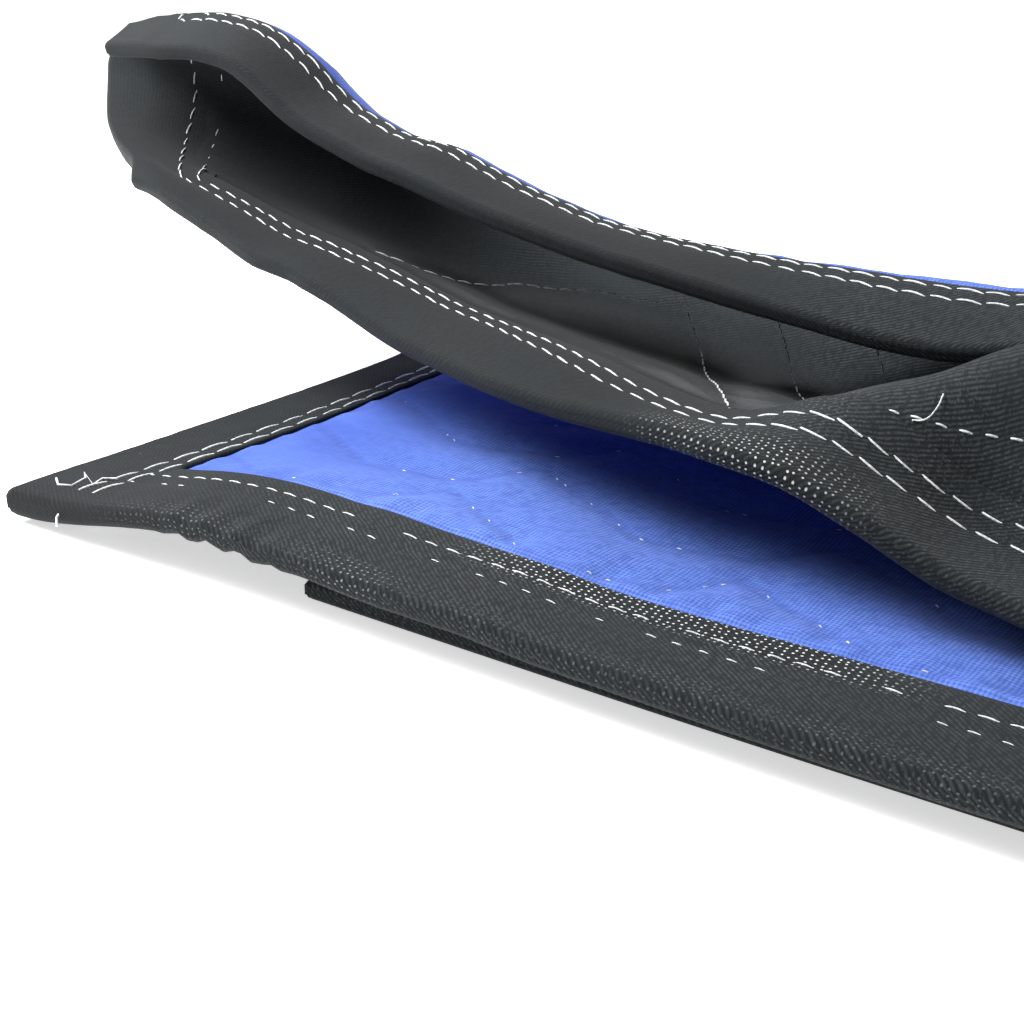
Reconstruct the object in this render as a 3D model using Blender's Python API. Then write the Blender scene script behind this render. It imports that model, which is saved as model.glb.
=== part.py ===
"""Corner of a quilted moving blanket, folded over on itself, with its bound edge.

The lower layer lies blue side up, with a square corner at its front left. At the right the cloth
folds back over it, black side up, and that upper layer ends in a lifted, curled nose. A third layer
lies under the lower one, joined to it by a fold at the back.

X runs along the front edge, Y goes back, Z is up, and the floor is Z = 0. The sizes below are measured
from the lower layer's corner, and the model's origin is REST_POINT, on the flat underside.
Every solid is cut from one grid that follows the cloth: across its length (i), from its front edge to
its back edge (j), and through its thickness (k). So the pieces nest with an even gap in every fold.
"""

import math

import bmesh
import bpy
from mathutils import Vector

MM = 0.001

# Cloth thicknesses and the gap between two pieces, in mm.
BLUE_CLOTH = 1.0
BLACK_CLOTH = 1.2
TAPE = 1.0
GAP = 0.3
PUFF = 0.9

# Flat sizes, in mm.
LENGTH = 300.0
DEPTH = 182.0
TAPE_WIDTH = 28.0
TAPE_CELLS = 3
FOLD_SKEW = 0.15
NOSE_X = -71.0

# The model's origin: a point of the flat underside, in the sizes below.
REST_POINT = Vector((200.0, 100.0, 0.0))

# Heights of the middle of the cloth above the floor, in mm.
LOWER_MIDDLE = 7.0
LOWER_EDGE_RISE = 1.25
LOWER_BACK_RISE = 2.6
LOWER_TIP_DROP = 4.5
STEP_OVER_UNDER = 1.0
RIPPLE = 0.3

# The layer below: where its corner is, and how far its front edge stands back.
UNDER_LEFT = 90.0
UNDER_FRONT = 5.0
UNDER_DEPTHS = (160.0, 134.0, 108.0, 82.0, 58.0)

# Quilting: a zigzag sewn in rows along the cloth.
ZIGZAG_HALF = 60.0
ZIGZAG_HEIGHT = 33.0
MOST_CROWDING = 0.35
LOWER_FADE = 1
UPPER_FADE = 3
LOWER_ZIGZAG_NEAR = 60.0
UPPER_ZIGZAG_NEAR = 45.0

RIGHT_FOLD_STEPS = 6
BACK_FOLD_STEPS = 5
TAPE_EDGE_ROUNDING = 0.55

# Grid lines along the cloth: X of the lower layer, then of the upper layer's front edge.
LOWER_LINES = (44, 60, 75, 90, 100, 110, 120, 140, 160, 180, 210, 240, 270, 300)
UPPER_LINES = (285, 270, 258, 246, 235, 225, 205, 185, 165, 145, 125, 105, 85, 65, 45, 25, 5, -15, -28)

# Widths of the quilted rows between the two tapes, as shares: fine in the front ridge and in the curl.
ROW_SHARES = (2, 2, 2, 2, 3, 3, 3, 3, 2, 2, 2, 2)
ROW_PUFF = (0, 1, 0, 1, 0, 1, 0, 1, 0, 0.7, 1, 0.7, 0)

# The upper layer, one row for each cross-section from the fold to the nose, in mm. Each section runs
# from the front edge up a ridge, down to a floor, along to its base, up a wall and over a crest to a lip.
SECTION_COLUMNS = (
    "x", "edge_y", "edge_z", "tape_rise", "ridge_y", "ridge_z", "floor_y", "floor_z", "base_y", "base_z",
    "wall_y", "wall_z", "crest_y", "crest_z", "lip_y", "lip_z", "lean",
)
SECTION_ROWS = (
    (300, 0, 31, 0, 40, 31, 70, 31, 105, 31, 138, 31, 162, 31, 183, 31, 27),
    (284, 8, 28, 1, 48, 35, 80, 34, 116, 31, 146, 31, 168, 33, 186, 37, 23),
    (262, 20, 24, 2, 62, 44, 92, 37, 129, 28, 157, 30, 175, 39, 182, 52, 17),
    (235, 34, 21, 3, 76, 54, 104, 40, 137, 23, 163, 31, 170, 47, 158, 60, 9),
    (215, 42, 21, 3, 84, 57, 109, 40, 140, 20, 163, 33, 158, 52, 134, 57, 4),
    (198, 45, 23, 3, 86, 57, 109, 40, 140, 20, 162, 33, 149, 54, 122, 50, 1),
    (182, 46, 29, 3, 80, 48, 106, 36, 140, 20, 161, 33, 144, 54, 117, 46, 0),
    (165, 48, 34, 4, 75, 42, 103, 31, 140, 20, 160, 34, 142, 54, 116, 45, 0),
    (141, 52, 35, -2, 76, 32, 104, 28, 140, 20, 160, 34, 142, 54, 116, 47, 0),
    (97, 62, 33, 3, 84, 36, 108, 30, 140, 22, 161, 36, 142, 54, 116, 52, 0),
    (50, 78, 34, 3, 96, 37, 114, 34, 140, 28, 162, 42, 143, 61, 117, 59, 0),
    (10, 89, 41, 2, 104, 42, 118, 42, 140, 38, 161, 51, 143, 71, 118, 69, -4),
    (-12, 93, 44, 1, 108, 45, 121, 46, 139, 44, 159, 61, 144, 83, 119, 78, -10),
    (-30, 98, 48, 1, 110, 49, 122, 50, 139, 51, 157, 71, 145, 97, 120, 90, -18),
    (-52, 102, 53, 2, 113, 55, 122, 58, 137, 63, 152, 81, 146, 101, 122, 94, -34),
    (-71, 106, 56, 3, 114, 60, 121, 63, 132, 71, 144, 86, 145, 98, 125, 94, -43),
)
TAPE_SHARE = 0.55
SOFT_POINTS = 90
SOFT_PASSES = 18

# How much of a section's lean each of its points takes.
LEAN_SHARE = {
    "edge": 0.0, "tape": 0.1, "ridge": 0.2, "floor": 0.45, "base": 0.75, "wall": 1.0, "crest": 1.0, "lip": 0.8,
}

# Levels through the cloth, from the blue side's tape to the black side's tape.
LEVELS = (
    -(GAP / 2 + BLUE_CLOTH + GAP + TAPE),
    -(GAP / 2 + BLUE_CLOTH + GAP),
    -(GAP / 2 + BLUE_CLOTH),
    -GAP / 2,
    GAP / 2,
    GAP / 2 + BLACK_CLOTH,
    GAP / 2 + BLACK_CLOTH + GAP,
    GAP / 2 + BLACK_CLOTH + GAP + TAPE,
)
BLUE_FACE, BLACK_FACE = 2, 5
BLUE_TAPE_SLAB, BLUE_SLAB, BLACK_SLAB, BLACK_TAPE_SLAB = 0, 2, 4, 6

# Heights at which the layer below lies on the floor: at its tape, and inside it.
UNDER_TAPE_HEIGHT = -LEVELS[0]
UNDER_MIDDLE = -LEVELS[BLUE_FACE]


def smooth(low, high, value):
    """0 below low, 1 above high, and a soft step between them."""
    share = min(max((value - low) / (high - low), 0.0), 1.0)
    return share * share * (3 - 2 * share)


def zigzag(distance):
    """A triangle wave: -1 at 0 and at each full period, +1 half a period away."""
    turns = abs(distance) / (2 * ZIGZAG_HALF) % 1.0
    return 4 * min(turns, 1 - turns) - 1


def catmull_rom(before, start, end, after, share):
    """A point of the smooth curve through start and end, as numbers or vectors."""
    square, cube = share * share, share**3
    return 0.5 * (
        2 * start
        + (end - before) * share
        + (2 * before - 5 * start + 4 * end - after) * square
        + (3 * start - before - 3 * end + after) * cube
    )


def section_at(x):
    """The upper layer's section at this X of its front edge, as a dictionary of its columns."""
    rows = SECTION_ROWS
    last = len(rows) - 2
    index = min(max(sum(row[0] > x for row in rows) - 1, 0), last)
    share = (rows[index][0] - x) / (rows[index][0] - rows[index + 1][0])
    before, after = rows[max(index - 1, 0)], rows[min(index + 2, len(rows) - 1)]
    values = [
        catmull_rom(a, b, c, d, share)
        for a, b, c, d in zip(before, rows[index], rows[index + 1], after)
    ]
    section = dict(zip(SECTION_COLUMNS, values))
    section["x"] = x
    return section


def soften(line):
    """The same line with every bend rounded, as thick cloth bends. Its two ends stay where they are."""
    length = line_length(line)
    line = sample(line, [length * step / SOFT_POINTS for step in range(SOFT_POINTS + 1)])
    for _ in range(SOFT_PASSES):
        inner = [(a + 2 * b + c) / 4 for a, b, c in zip(line, line[1:], line[2:])]
        line = [line[0], *inner, line[-1]]
    return line


def upper_profile(x):
    """The upper layer's section at x as a fine line of points, from its front edge to its lip."""
    row = section_at(x)
    row["tape_y"] = row["edge_y"] + TAPE_SHARE * (row["ridge_y"] - row["edge_y"])
    row["tape_z"] = row["edge_z"] + row["tape_rise"]
    knots = [
        Vector((x + row["lean"] * share, row[name + "_y"], row[name + "_z"]))
        for name, share in LEAN_SHARE.items()
    ]
    knots = [2 * knots[0] - knots[1], *knots, 2 * knots[-1] - knots[-2]]
    steps = 12
    line = [
        catmull_rom(*knots[index : index + 4], step / steps)
        for index in range(len(knots) - 3)
        for step in range(steps)
    ]
    return soften([*line, knots[-2]])


def lower_height(x, y):
    """Height of the middle of the lower layer, which steps over the layer under it."""
    tape = max(1 - smooth(TAPE_WIDTH, 55, y), 1 - smooth(TAPE_WIDTH, 55, x))
    step = smooth(74, 88, x) * (1 - smooth(122, 142, x))
    ripple = RIPPLE * (1 + math.sin(x / 17 + y / 23))
    return (
        LOWER_MIDDLE
        + LOWER_EDGE_RISE * tape
        + LOWER_BACK_RISE * smooth(135, 175, y)
        + STEP_OVER_UNDER * step
        + ripple
        - LOWER_TIP_DROP * (1 - smooth(10, 80, x))
    )


def lower_profile(x):
    """The lower layer's section at x, from its front edge to the back."""
    steps = 60
    line = []
    for step in range(steps + 1):
        y = DEPTH * step / steps
        line.append(Vector((x + FOLD_SKEW * y * (x / LENGTH) ** 2, y, lower_height(x, y))))
    return line


def row_places(length, phase, fade):
    """Distances from the front edge of the grid lines across a section of this length.

    The rows swing with the zigzag, most of all where share is 1 / (fade + 1), and not at the tapes.
    """
    tape = [TAPE_WIDTH * step / TAPE_CELLS for step in range(TAPE_CELLS)]
    quilted = length - 2 * TAPE_WIDTH
    steepness = (fade + 1) ** (fade + 1) / fade**fade
    swing = min(ZIGZAG_HEIGHT / 2 / quilted, MOST_CROWDING / steepness) * zigzag(phase) * steepness
    shares = [sum(ROW_SHARES[:count]) / sum(ROW_SHARES) for count in range(len(ROW_SHARES) + 1)]
    rows = [TAPE_WIDTH + quilted * (share + swing * share * (1 - share) ** fade) for share in shares]
    return tape + rows + [length - place for place in reversed(tape)]


def sample(line, places):
    """The points at these distances along a line of points."""
    return [point for point, _ in sample_ways(line, places)]


def sample_ways(line, places):
    """The points at these distances along a line of points, each with the line's direction there."""
    reach = [0.0]
    for start, end in zip(line, line[1:]):
        reach.append(reach[-1] + (end - start).length)
    points = []
    index = 0
    for place in places:
        while index < len(line) - 2 and reach[index + 1] < place:
            index += 1
        share = (place - reach[index]) / (reach[index + 1] - reach[index])
        low, high = max(index - 1, 0), min(index + 2, len(line) - 1)
        before = line[index + 1] - line[low]
        after = line[high] - line[index]
        points.append((line[index].lerp(line[index + 1], share), before.lerp(after, share).normalized()))
    return points


def line_length(line):
    return sum((end - start).length for start, end in zip(line, line[1:]))


def lower_column(x):
    line = lower_profile(x)
    return sample_ways(line, row_places(line_length(line), x - LOWER_ZIGZAG_NEAR, LOWER_FADE))


def upper_column(x):
    line = upper_profile(x)
    return sample_ways(line, row_places(line_length(line), x - UPPER_ZIGZAG_NEAR, UPPER_FADE))


def right_fold_columns(lower, upper):
    """Grid columns that turn from the lower layer's end round to the upper layer's."""
    columns = []
    for step in range(1, RIGHT_FOLD_STEPS):
        share = step / RIGHT_FOLD_STEPS
        column = []
        for (low, low_way), (high, high_way) in zip(lower, upper):
            middle = low.lerp(high, share)
            radius = (high.z - low.z) / 2
            middle.x += radius * math.sin(math.pi * share)
            middle.z = (low.z + high.z) / 2 - radius * math.cos(math.pi * share)
            column.append((middle, low_way.lerp(high_way, share)))
        columns.append(column)
    return columns


def extend(points):
    """Adds two points past each end of a row: one for the gap, and one for the tape's outer edge."""
    first = (points[0] - points[1]).normalized()
    last = (points[-1] - points[-2]).normalized()
    return [
        points[0] + first * (GAP + TAPE),
        points[0] + first * GAP,
        *points,
        points[-1] + last * GAP,
        points[-1] + last * (GAP + TAPE),
    ]


def extend_grid(columns):
    rows = [extend(column) for column in columns]
    across = [extend(list(row)) for row in zip(*rows)]
    return [list(column) for column in zip(*across)]


def normals_of(columns):
    """Unit normals of the cloth's middle, towards its black side. The lines past an edge repeat its own."""
    normals = []
    last = len(columns) - 1
    for i, column in enumerate(columns):
        before, after = columns[max(i - 1, 0)], columns[min(i + 1, last)]
        line = [
            across.cross(ahead[0] - behind[0]).normalized()
            for (_, across), behind, ahead in zip(column, before, after)
        ]
        normals.append([line[0], line[0], *line, line[-1], line[-1]])
    return [normals[0], normals[0], *normals, normals[-1], normals[-1]]


def layered(columns, puffs, rounded):
    """Points at every level of the cloth. puffs(i, j) gives the blue and the black side's quilting."""
    grid = extend_grid([[point for point, _ in column] for column in columns])
    normals = normals_of(columns)
    points = []
    for i, column in enumerate(grid):
        line = []
        for j, middle in enumerate(column):
            blue, black = puffs(i, j)
            levels = list(LEVELS)
            levels[BLUE_FACE] -= PUFF * blue
            levels[BLACK_FACE] += PUFF * black
            scale = TAPE_EDGE_ROUNDING if rounded(i, j) else 1.0
            line.append([middle + normals[i][j] * level * scale for level in levels])
        points.append(line)
    return points


def top_cloth():
    """The grid of the lower layer, the fold at the right and the upper layer."""
    left_tape = [TAPE_WIDTH * step / TAPE_CELLS for step in range(TAPE_CELLS + 1)]
    nose_tape = [NOSE_X + place for place in reversed(left_tape)]
    lower = [lower_column(x) for x in (*left_tape, *LOWER_LINES)]
    upper = [upper_column(x) for x in (LENGTH, *UPPER_LINES, *nose_tape)]
    columns = [*lower, *right_fold_columns(lower[-1], upper[0]), *upper]
    wide, deep = len(columns) + 4, len(columns[0]) + 4

    def puffs(i, j):
        inside = 2 + TAPE_CELLS < i < wide - 3 - TAPE_CELLS
        row = j - 2 - TAPE_CELLS
        puff = ROW_PUFF[row] if inside and 0 <= row < len(ROW_PUFF) else 0.0
        return puff, puff

    def rounded(i, j):
        return i in (0, wide - 1) or j in (0, deep - 1)

    return layered(columns, puffs, rounded), len(lower)


def under_height(x, y):
    """Height of the middle of the layer below: its tape and its inside both lie on the floor."""
    tape_x = UNDER_LEFT + 30
    tape = max(1 - smooth(UNDER_FRONT + TAPE_WIDTH, 58, y), 1 - smooth(tape_x, 140, x))
    return UNDER_MIDDLE + (UNDER_TAPE_HEIGHT - UNDER_MIDDLE) * tape


def under_cloth(top, lower_count):
    """The grid of the fold at the back and of the layer under the lower one."""
    lines = [x for x in LOWER_LINES if x >= UNDER_LEFT]
    first = 2 + lower_count - len(lines)
    back = len(top[0]) - 3
    tape_places = [TAPE_WIDTH * step / TAPE_CELLS for step in range(TAPE_CELLS, -1, -1)]
    depths = [*UNDER_DEPTHS, *(UNDER_FRONT + place for place in tape_places)]
    columns = []
    for index, x in enumerate(lines):
        levels = top[first + index][back]
        start = levels[BLUE_FACE + 1].lerp(levels[BLUE_FACE + 2], 0.5)
        column = []
        low = under_height(x, DEPTH)
        radius = (start.z - low) / 2
        for step in range(BACK_FOLD_STEPS + 1):
            angle = math.pi * step / BACK_FOLD_STEPS
            offset = Vector((0, radius * math.sin(angle), radius * (math.cos(angle) - 1)))
            column.append((start + offset, Vector((0, math.cos(angle), -math.sin(angle)))))
        for y in depths:
            place = Vector((x + FOLD_SKEW * y * (x / LENGTH) ** 2, y, under_height(x, y)))
            column.append((place, Vector((0, -1, 0))))
        columns.append(column)
    wide, deep = len(columns) + 4, len(columns[0]) + 4

    def puffs(i, j):
        inside = 2 + TAPE_CELLS < i < wide - 3 and 3 + BACK_FOLD_STEPS < j < deep - 3 - TAPE_CELLS
        return 0.0, (j % 2 if inside else 0.0)

    def rounded(i, j):
        return i == 0 or j == deep - 1

    points = layered(columns, puffs, rounded)
    for index in range(len(lines)):
        points[2 + index][2] = top[first + index][back]
    return points


def box_faces(i, j, k):
    """The six faces of one grid box, each as its corners' places in the grid."""
    far = (i + 1, j + 1, k + 1)
    near = (i, j, k)
    faces = []
    for axis in range(3):
        one, two = [other for other in range(3) if other != axis]
        for fixed in (near[axis], far[axis]):
            face = []
            for first, second in ((near, near), (far, near), (far, far), (near, far)):
                corner = [0, 0, 0]
                corner[axis] = fixed
                corner[one] = first[one]
                corner[two] = second[two]
                face.append(tuple(corner))
            faces.append(face)
    return faces


def solid(name, boxes, material, collection):
    """One closed solid from grid boxes, given as (points, i, j, k): the faces that two share go."""
    keys = {}
    outer = {}
    for points, i, j, k in boxes:
        for face in box_faces(i, j, k):
            corners = [points[a][b][c] for a, b, c in face]
            ids = [keys.setdefault(tuple(round(v, 5) for v in corner), len(keys)) for corner in corners]
            match = frozenset(ids)
            if match in outer:
                del outer[match]
            else:
                outer[match] = (ids, corners)
    mesh = bmesh.new()
    made = {}
    for ids, corners in outer.values():
        for number, corner in zip(ids, corners):
            if number not in made:
                made[number] = mesh.verts.new((corner - REST_POINT) * MM)
        # The same diagonal in every layer keeps nested layers apart where the cloth twists.
        mesh.faces.new([made[ids[0]], made[ids[1]], made[ids[2]]])
        mesh.faces.new([made[ids[0]], made[ids[2]], made[ids[3]]])
    bmesh.ops.recalc_face_normals(mesh, faces=mesh.faces)
    data = bpy.data.meshes.new(name)
    mesh.to_mesh(data)
    mesh.free()
    data.materials.append(material)
    data.shade_smooth()
    data.set_sharp_from_angle(angle=math.radians(50))
    made_object = bpy.data.objects.new(name, data)
    collection.objects.link(made_object)
    return made_object


def cloth_material(name, color, roughness):
    material = bpy.data.materials.new(name)
    material.use_nodes = True
    shader = material.node_tree.nodes["Principled BSDF"]
    shader.inputs["Base Color"].default_value = (*color, 1.0)
    shader.inputs["Roughness"].default_value = roughness
    shader.inputs["Metallic"].default_value = 0.0
    return material


def panel_boxes(top, under, slab):
    """The boxes of one panel: all of the cloth inside its edges, in one slab of its thickness."""
    boxes = [(top, i, j, slab) for i in range(2, len(top) - 3) for j in range(2, len(top[0]) - 3)]
    boxes += [(under, i, j, slab) for i in range(2, len(under) - 3) for j in range(2, len(under[0]) - 3)]
    return boxes


def tape_boxes(points, covered, wall):
    """Boxes of a tape: a leg on each side where covered(i, j), joined where wall(i, j)."""
    boxes = []
    for i in range(len(points) - 1):
        for j in range(len(points[0]) - 1):
            if wall(i, j):
                boxes += [(points, i, j, k) for k in range(len(LEVELS) - 1)]
            elif covered(i, j):
                boxes += [(points, i, j, BLUE_TAPE_SLAB), (points, i, j, BLACK_TAPE_SLAB)]
    return boxes


def top_tape_boxes(top, lower_count):
    """Tape round the lower corner, along the front, round the nose and back along the lip."""
    wide, deep = len(top) - 1, len(top[0]) - 1
    reach = 2 + TAPE_CELLS
    back = deep - 2
    lip_start = 2 + lower_count + RIGHT_FOLD_STEPS + 1

    def covered(i, j):
        if j >= back:
            return i >= lip_start
        return j < reach or i < reach or i >= wide - reach or (j >= deep - reach and i >= lip_start)

    def wall(i, j):
        if j >= back and i < lip_start:
            return False
        return j == 0 or i in (0, wide - 1) or j == deep - 1

    return tape_boxes(top, covered, wall)


def under_tape_boxes(under):
    """Tape along the left and front edges of the layer below. It starts on the fold at the back."""
    wide, deep = len(under) - 1, len(under[0]) - 1
    reach = 2 + TAPE_CELLS
    start = 3

    def inside(i, j):
        return i < wide - 2 and j >= start

    def covered(i, j):
        return inside(i, j) and (i < reach or j >= deep - reach)

    def wall(i, j):
        return inside(i, j) and (i == 0 or j == deep - 1)

    return tape_boxes(under, covered, wall)


def main():
    for old in list(bpy.data.objects):
        bpy.data.objects.remove(old)
    collection = bpy.data.collections.new("moving_blanket")
    bpy.context.scene.collection.children.link(collection)
    black = cloth_material("black_quilt_cloth", (0.022, 0.024, 0.025), 0.92)
    blue = cloth_material("blue_backing_cloth", (0.060, 0.115, 0.560), 0.88)
    tape = cloth_material("black_edge_tape", (0.030, 0.033, 0.034), 0.85)
    top, lower_count = top_cloth()
    under = under_cloth(top, lower_count)
    solid("black_panel", panel_boxes(top, under, BLACK_SLAB), black, collection)
    solid("blue_panel", panel_boxes(top, under, BLUE_SLAB), blue, collection)
    solid("edge_tape", top_tape_boxes(top, lower_count), tape, collection)
    solid("under_edge_tape", under_tape_boxes(under), tape, collection)


main()
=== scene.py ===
# %% [markdown]
# # Dressing a folded moving blanket
#
# A moving blanket is two covers with padding between them, sewn together in zigzag rows, with a tape
# folded round the edge and held by two rows of thick white thread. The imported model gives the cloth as
# four plain solids. This lesson makes the same cloth again on a finer grid, so that the covers can puff
# between their seams, and then sews it, colours it and lights it. We start with that model.

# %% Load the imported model
import math

import bpy
import numpy as np
from mathutils import Matrix, Vector, noise


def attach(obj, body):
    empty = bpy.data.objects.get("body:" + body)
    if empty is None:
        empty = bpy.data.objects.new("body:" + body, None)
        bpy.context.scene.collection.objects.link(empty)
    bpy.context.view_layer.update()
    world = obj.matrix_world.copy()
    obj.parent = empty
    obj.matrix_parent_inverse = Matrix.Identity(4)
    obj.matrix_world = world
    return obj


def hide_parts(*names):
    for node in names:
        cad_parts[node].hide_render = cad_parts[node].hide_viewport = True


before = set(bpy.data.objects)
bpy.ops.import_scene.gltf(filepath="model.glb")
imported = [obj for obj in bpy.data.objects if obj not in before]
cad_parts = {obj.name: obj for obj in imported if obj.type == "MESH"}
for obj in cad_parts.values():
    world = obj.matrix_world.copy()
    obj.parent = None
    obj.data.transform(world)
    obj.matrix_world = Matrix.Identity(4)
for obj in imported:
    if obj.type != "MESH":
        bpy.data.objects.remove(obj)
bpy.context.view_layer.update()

MM = 0.001

# %% [markdown]
# ## The sizes of the cloth
#
# Everything is drawn in millimetres from the lower layer's corner: X along the bound front edge, Y back
# from it, Z up. REST_POINT is where the model's own origin lies in those sizes. The levels are heights
# through the cloth: tape, gap, blue cover, gap, black cover, gap, tape.

# %% Sizes
REST_POINT = np.array((200.0, 100.0, 0.0))
BLUE_CLOTH, BLACK_CLOTH, TAPE, GAP = 1.0, 1.2, 1.0, 0.3
LENGTH, DEPTH, TAPE_WIDTH = 300.0, 182.0, 28.0
FOLD_SKEW, NOSE_X = 0.15, -71.0
LOWER_MIDDLE, LOWER_EDGE_RISE, LOWER_BACK_RISE, LOWER_TIP_DROP = 7.0, 1.25, 2.6, 4.0
STEP_OVER_UNDER, RIPPLE = 1.0, 0.3
UNDER_LEFT, UNDER_FRONT = 83.0, 7.5

HALF_GAP = GAP / 2
LEVELS = np.array((
    -(HALF_GAP + BLUE_CLOTH + GAP + TAPE),
    -(HALF_GAP + BLUE_CLOTH + GAP),
    -(HALF_GAP + BLUE_CLOTH),
    -HALF_GAP,
    HALF_GAP,
    HALF_GAP + BLACK_CLOTH,
    HALF_GAP + BLACK_CLOTH + GAP,
    HALF_GAP + BLACK_CLOTH + GAP + TAPE,
))
BLUE_TAPE_FACE, BLUE_FACE, BLACK_FACE, BLACK_TAPE_FACE = 0, 2, 5, 7
BLUE_TAPE_SLAB, BLUE_SLAB, BLACK_SLAB, BLACK_TAPE_SLAB = 0, 2, 4, 6
print("thickness at the tape, mm:", round(LEVELS[-1] - LEVELS[0], 2))

# %% [markdown]
# ## The upper layer's shape
#
# The upper layer is a loft: its cross-section is given at sixteen places from the fold to the lifted
# nose, and a smooth curve fills in between. Each section climbs from the front edge over a ridge, dips
# to a floor, runs up a wall and curls forward over a crest to its lip. A table is easier to correct
# against the real cloth than a simulation, which would fall into folds of its own.

# %% Sections of the upper layer
SECTION_COLUMNS = (
    "x", "edge_y", "edge_z", "tape_rise", "ridge_y", "ridge_z", "floor_y", "floor_z", "base_y", "base_z",
    "wall_y", "wall_z", "crest_y", "crest_z", "lip_y", "lip_z", "lean",
)
SECTION_ROWS = np.array((
    (300, 0, 31, 0, 40, 31, 70, 31, 105, 31, 138, 31, 162, 31, 183, 31, 27),
    (284, 8, 28, 1, 48, 35, 80, 34, 116, 31, 146, 31, 168, 33, 186, 37, 23),
    (262, 20, 24, 2, 62, 44, 92, 37, 129, 28, 157, 30, 175, 39, 182, 52, 17),
    (235, 34, 21, 3, 76, 54, 104, 40, 137, 23, 163, 31, 170, 47, 158, 60, 9),
    (215, 42, 21, 3, 84, 57, 109, 40, 140, 20, 163, 33, 158, 52, 134, 57, 4),
    (198, 45, 23, 3, 86, 57, 109, 40, 140, 20, 162, 33, 149, 54, 122, 50, 1),
    (182, 46, 29, 3, 80, 48, 106, 36, 140, 20, 161, 33, 144, 54, 117, 46, 0),
    (165, 48, 34, 4, 75, 42, 103, 31, 140, 20, 160, 34, 142, 54, 116, 45, 0),
    (141, 52, 35, -2, 76, 32, 104, 28, 140, 20, 160, 34, 142, 54, 116, 47, 0),
    (97, 62, 33, 3, 84, 36, 108, 30, 140, 22, 161, 36, 142, 54, 116, 52, 0),
    (50, 78, 34, 3, 96, 37, 114, 34, 140, 28, 162, 42, 143, 61, 117, 59, 0),
    (10, 89, 41, 2, 104, 42, 118, 42, 140, 38, 161, 51, 143, 71, 118, 69, -4),
    (-12, 93, 44, 1, 108, 45, 121, 46, 139, 44, 159, 61, 144, 83, 119, 78, -10),
    (-30, 98, 48, 1, 110, 49, 122, 50, 139, 51, 157, 71, 145, 97, 120, 90, -18),
    (-52, 102, 53, 2, 113, 55, 122, 58, 137, 63, 152, 81, 146, 101, 122, 94, -34),
    (-71, 106, 56, 3, 114, 60, 121, 63, 132, 71, 144, 86, 145, 98, 125, 94, -43),
), dtype=float)
TAPE_SHARE = 0.55
LEAN_SHARE = {
    "edge": 0.0, "tape": 0.1, "ridge": 0.2, "floor": 0.45,
    "base": 0.75, "wall": 1.0, "crest": 1.0, "lip": 0.8,
}
SPAN_STEPS, SOFT_POINTS, SOFT_PASSES = 12, 90, 18
print("sections:", len(SECTION_ROWS))

# %% From a section to a smooth line
def catmull_rom(before, start, end, after, share):
    """A point of the smooth curve through start and end."""
    return 0.5 * (
        2 * start
        + (end - before) * share
        + (2 * before - 5 * start + 4 * end - after) * share**2
        + (3 * start - before - 3 * end + after) * share**3
    )


def along(line, places):
    """The points at these distances along a line, and the line's direction at each."""
    reach = np.r_[0, np.cumsum(np.linalg.norm(np.diff(line, axis=0), axis=1))]
    ways = np.gradient(line, axis=0)
    points, ways = (
        np.stack([np.interp(places, reach, values[:, axis]) for axis in range(3)], axis=1)
        for values in (line, ways)
    )
    return points, ways / np.linalg.norm(ways, axis=1, keepdims=True)


def line_length(line):
    """Length of a line of points, in mm."""
    return np.linalg.norm(np.diff(line, axis=0), axis=1).sum()


def upper_line(x):
    """The upper layer's section at x, from its front edge to its lip."""
    places = SECTION_ROWS[:, 0]
    index = int(np.clip(np.sum(places > x) - 1, 0, len(places) - 2))
    share = (places[index] - x) / (places[index] - places[index + 1])
    near, far = max(index - 1, 0), min(index + 2, len(places) - 1)
    values = catmull_rom(SECTION_ROWS[near], *SECTION_ROWS[index : index + 2], SECTION_ROWS[far], share)
    row = dict(zip(SECTION_COLUMNS, values))
    row["tape_y"] = row["edge_y"] + TAPE_SHARE * (row["ridge_y"] - row["edge_y"])
    row["tape_z"] = row["edge_z"] + row["tape_rise"]
    knots = np.array([
        (x + row["lean"] * lean, row[name + "_y"], row[name + "_z"]) for name, lean in LEAN_SHARE.items()
    ])
    knots = np.vstack([2 * knots[0] - knots[1], knots, 2 * knots[-1] - knots[-2]])
    steps = np.arange(SPAN_STEPS)[:, None] / SPAN_STEPS
    spans = [catmull_rom(*knots[start : start + 4], steps) for start in range(len(knots) - 3)]
    line = np.vstack([*spans, knots[-2]])
    line = along(line, np.linspace(0, line_length(line), SOFT_POINTS + 1))[0]
    for _ in range(SOFT_PASSES):
        line[1:-1] = (line[:-2] + 2 * line[1:-1] + line[2:]) / 4
    return line


print("section lengths, mm:", [round(line_length(upper_line(x))) for x in SECTION_ROWS[:, 0]])

# %% [markdown]
# ## The lower layer and its small humps
#
# The lower layer lies nearly flat, blue side up. It rises a little over its own tape, over the corner of
# the layer below and towards the back fold. A thick cloth never lies quite flat, so a low noise with
# humps some 50 mm long is added to both layers.

# %% Heights of the lower layer
HUMP_X, HUMP_Y, HUMP_RISE = 64.0, 14.0, 4.2
HUMP_REACH_X, HUMP_REACH_Y = 31.0, 38.0
TIP_REACH = 48.0
TAPE_SLOPE_END = 55.0
STEP_UP, STEP_DOWN, BACK_SLOPE = (74, 88), (122, 142), (135, 175)
RIPPLE_X, RIPPLE_Y = 17, 23
LINE_POINTS = 61


def smooth(low, high, value):
    """0 below low, 1 above high, and a soft step between them."""
    share = np.clip((value - low) / (high - low), 0.0, 1.0)
    return share * share * (3 - 2 * share)


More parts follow.
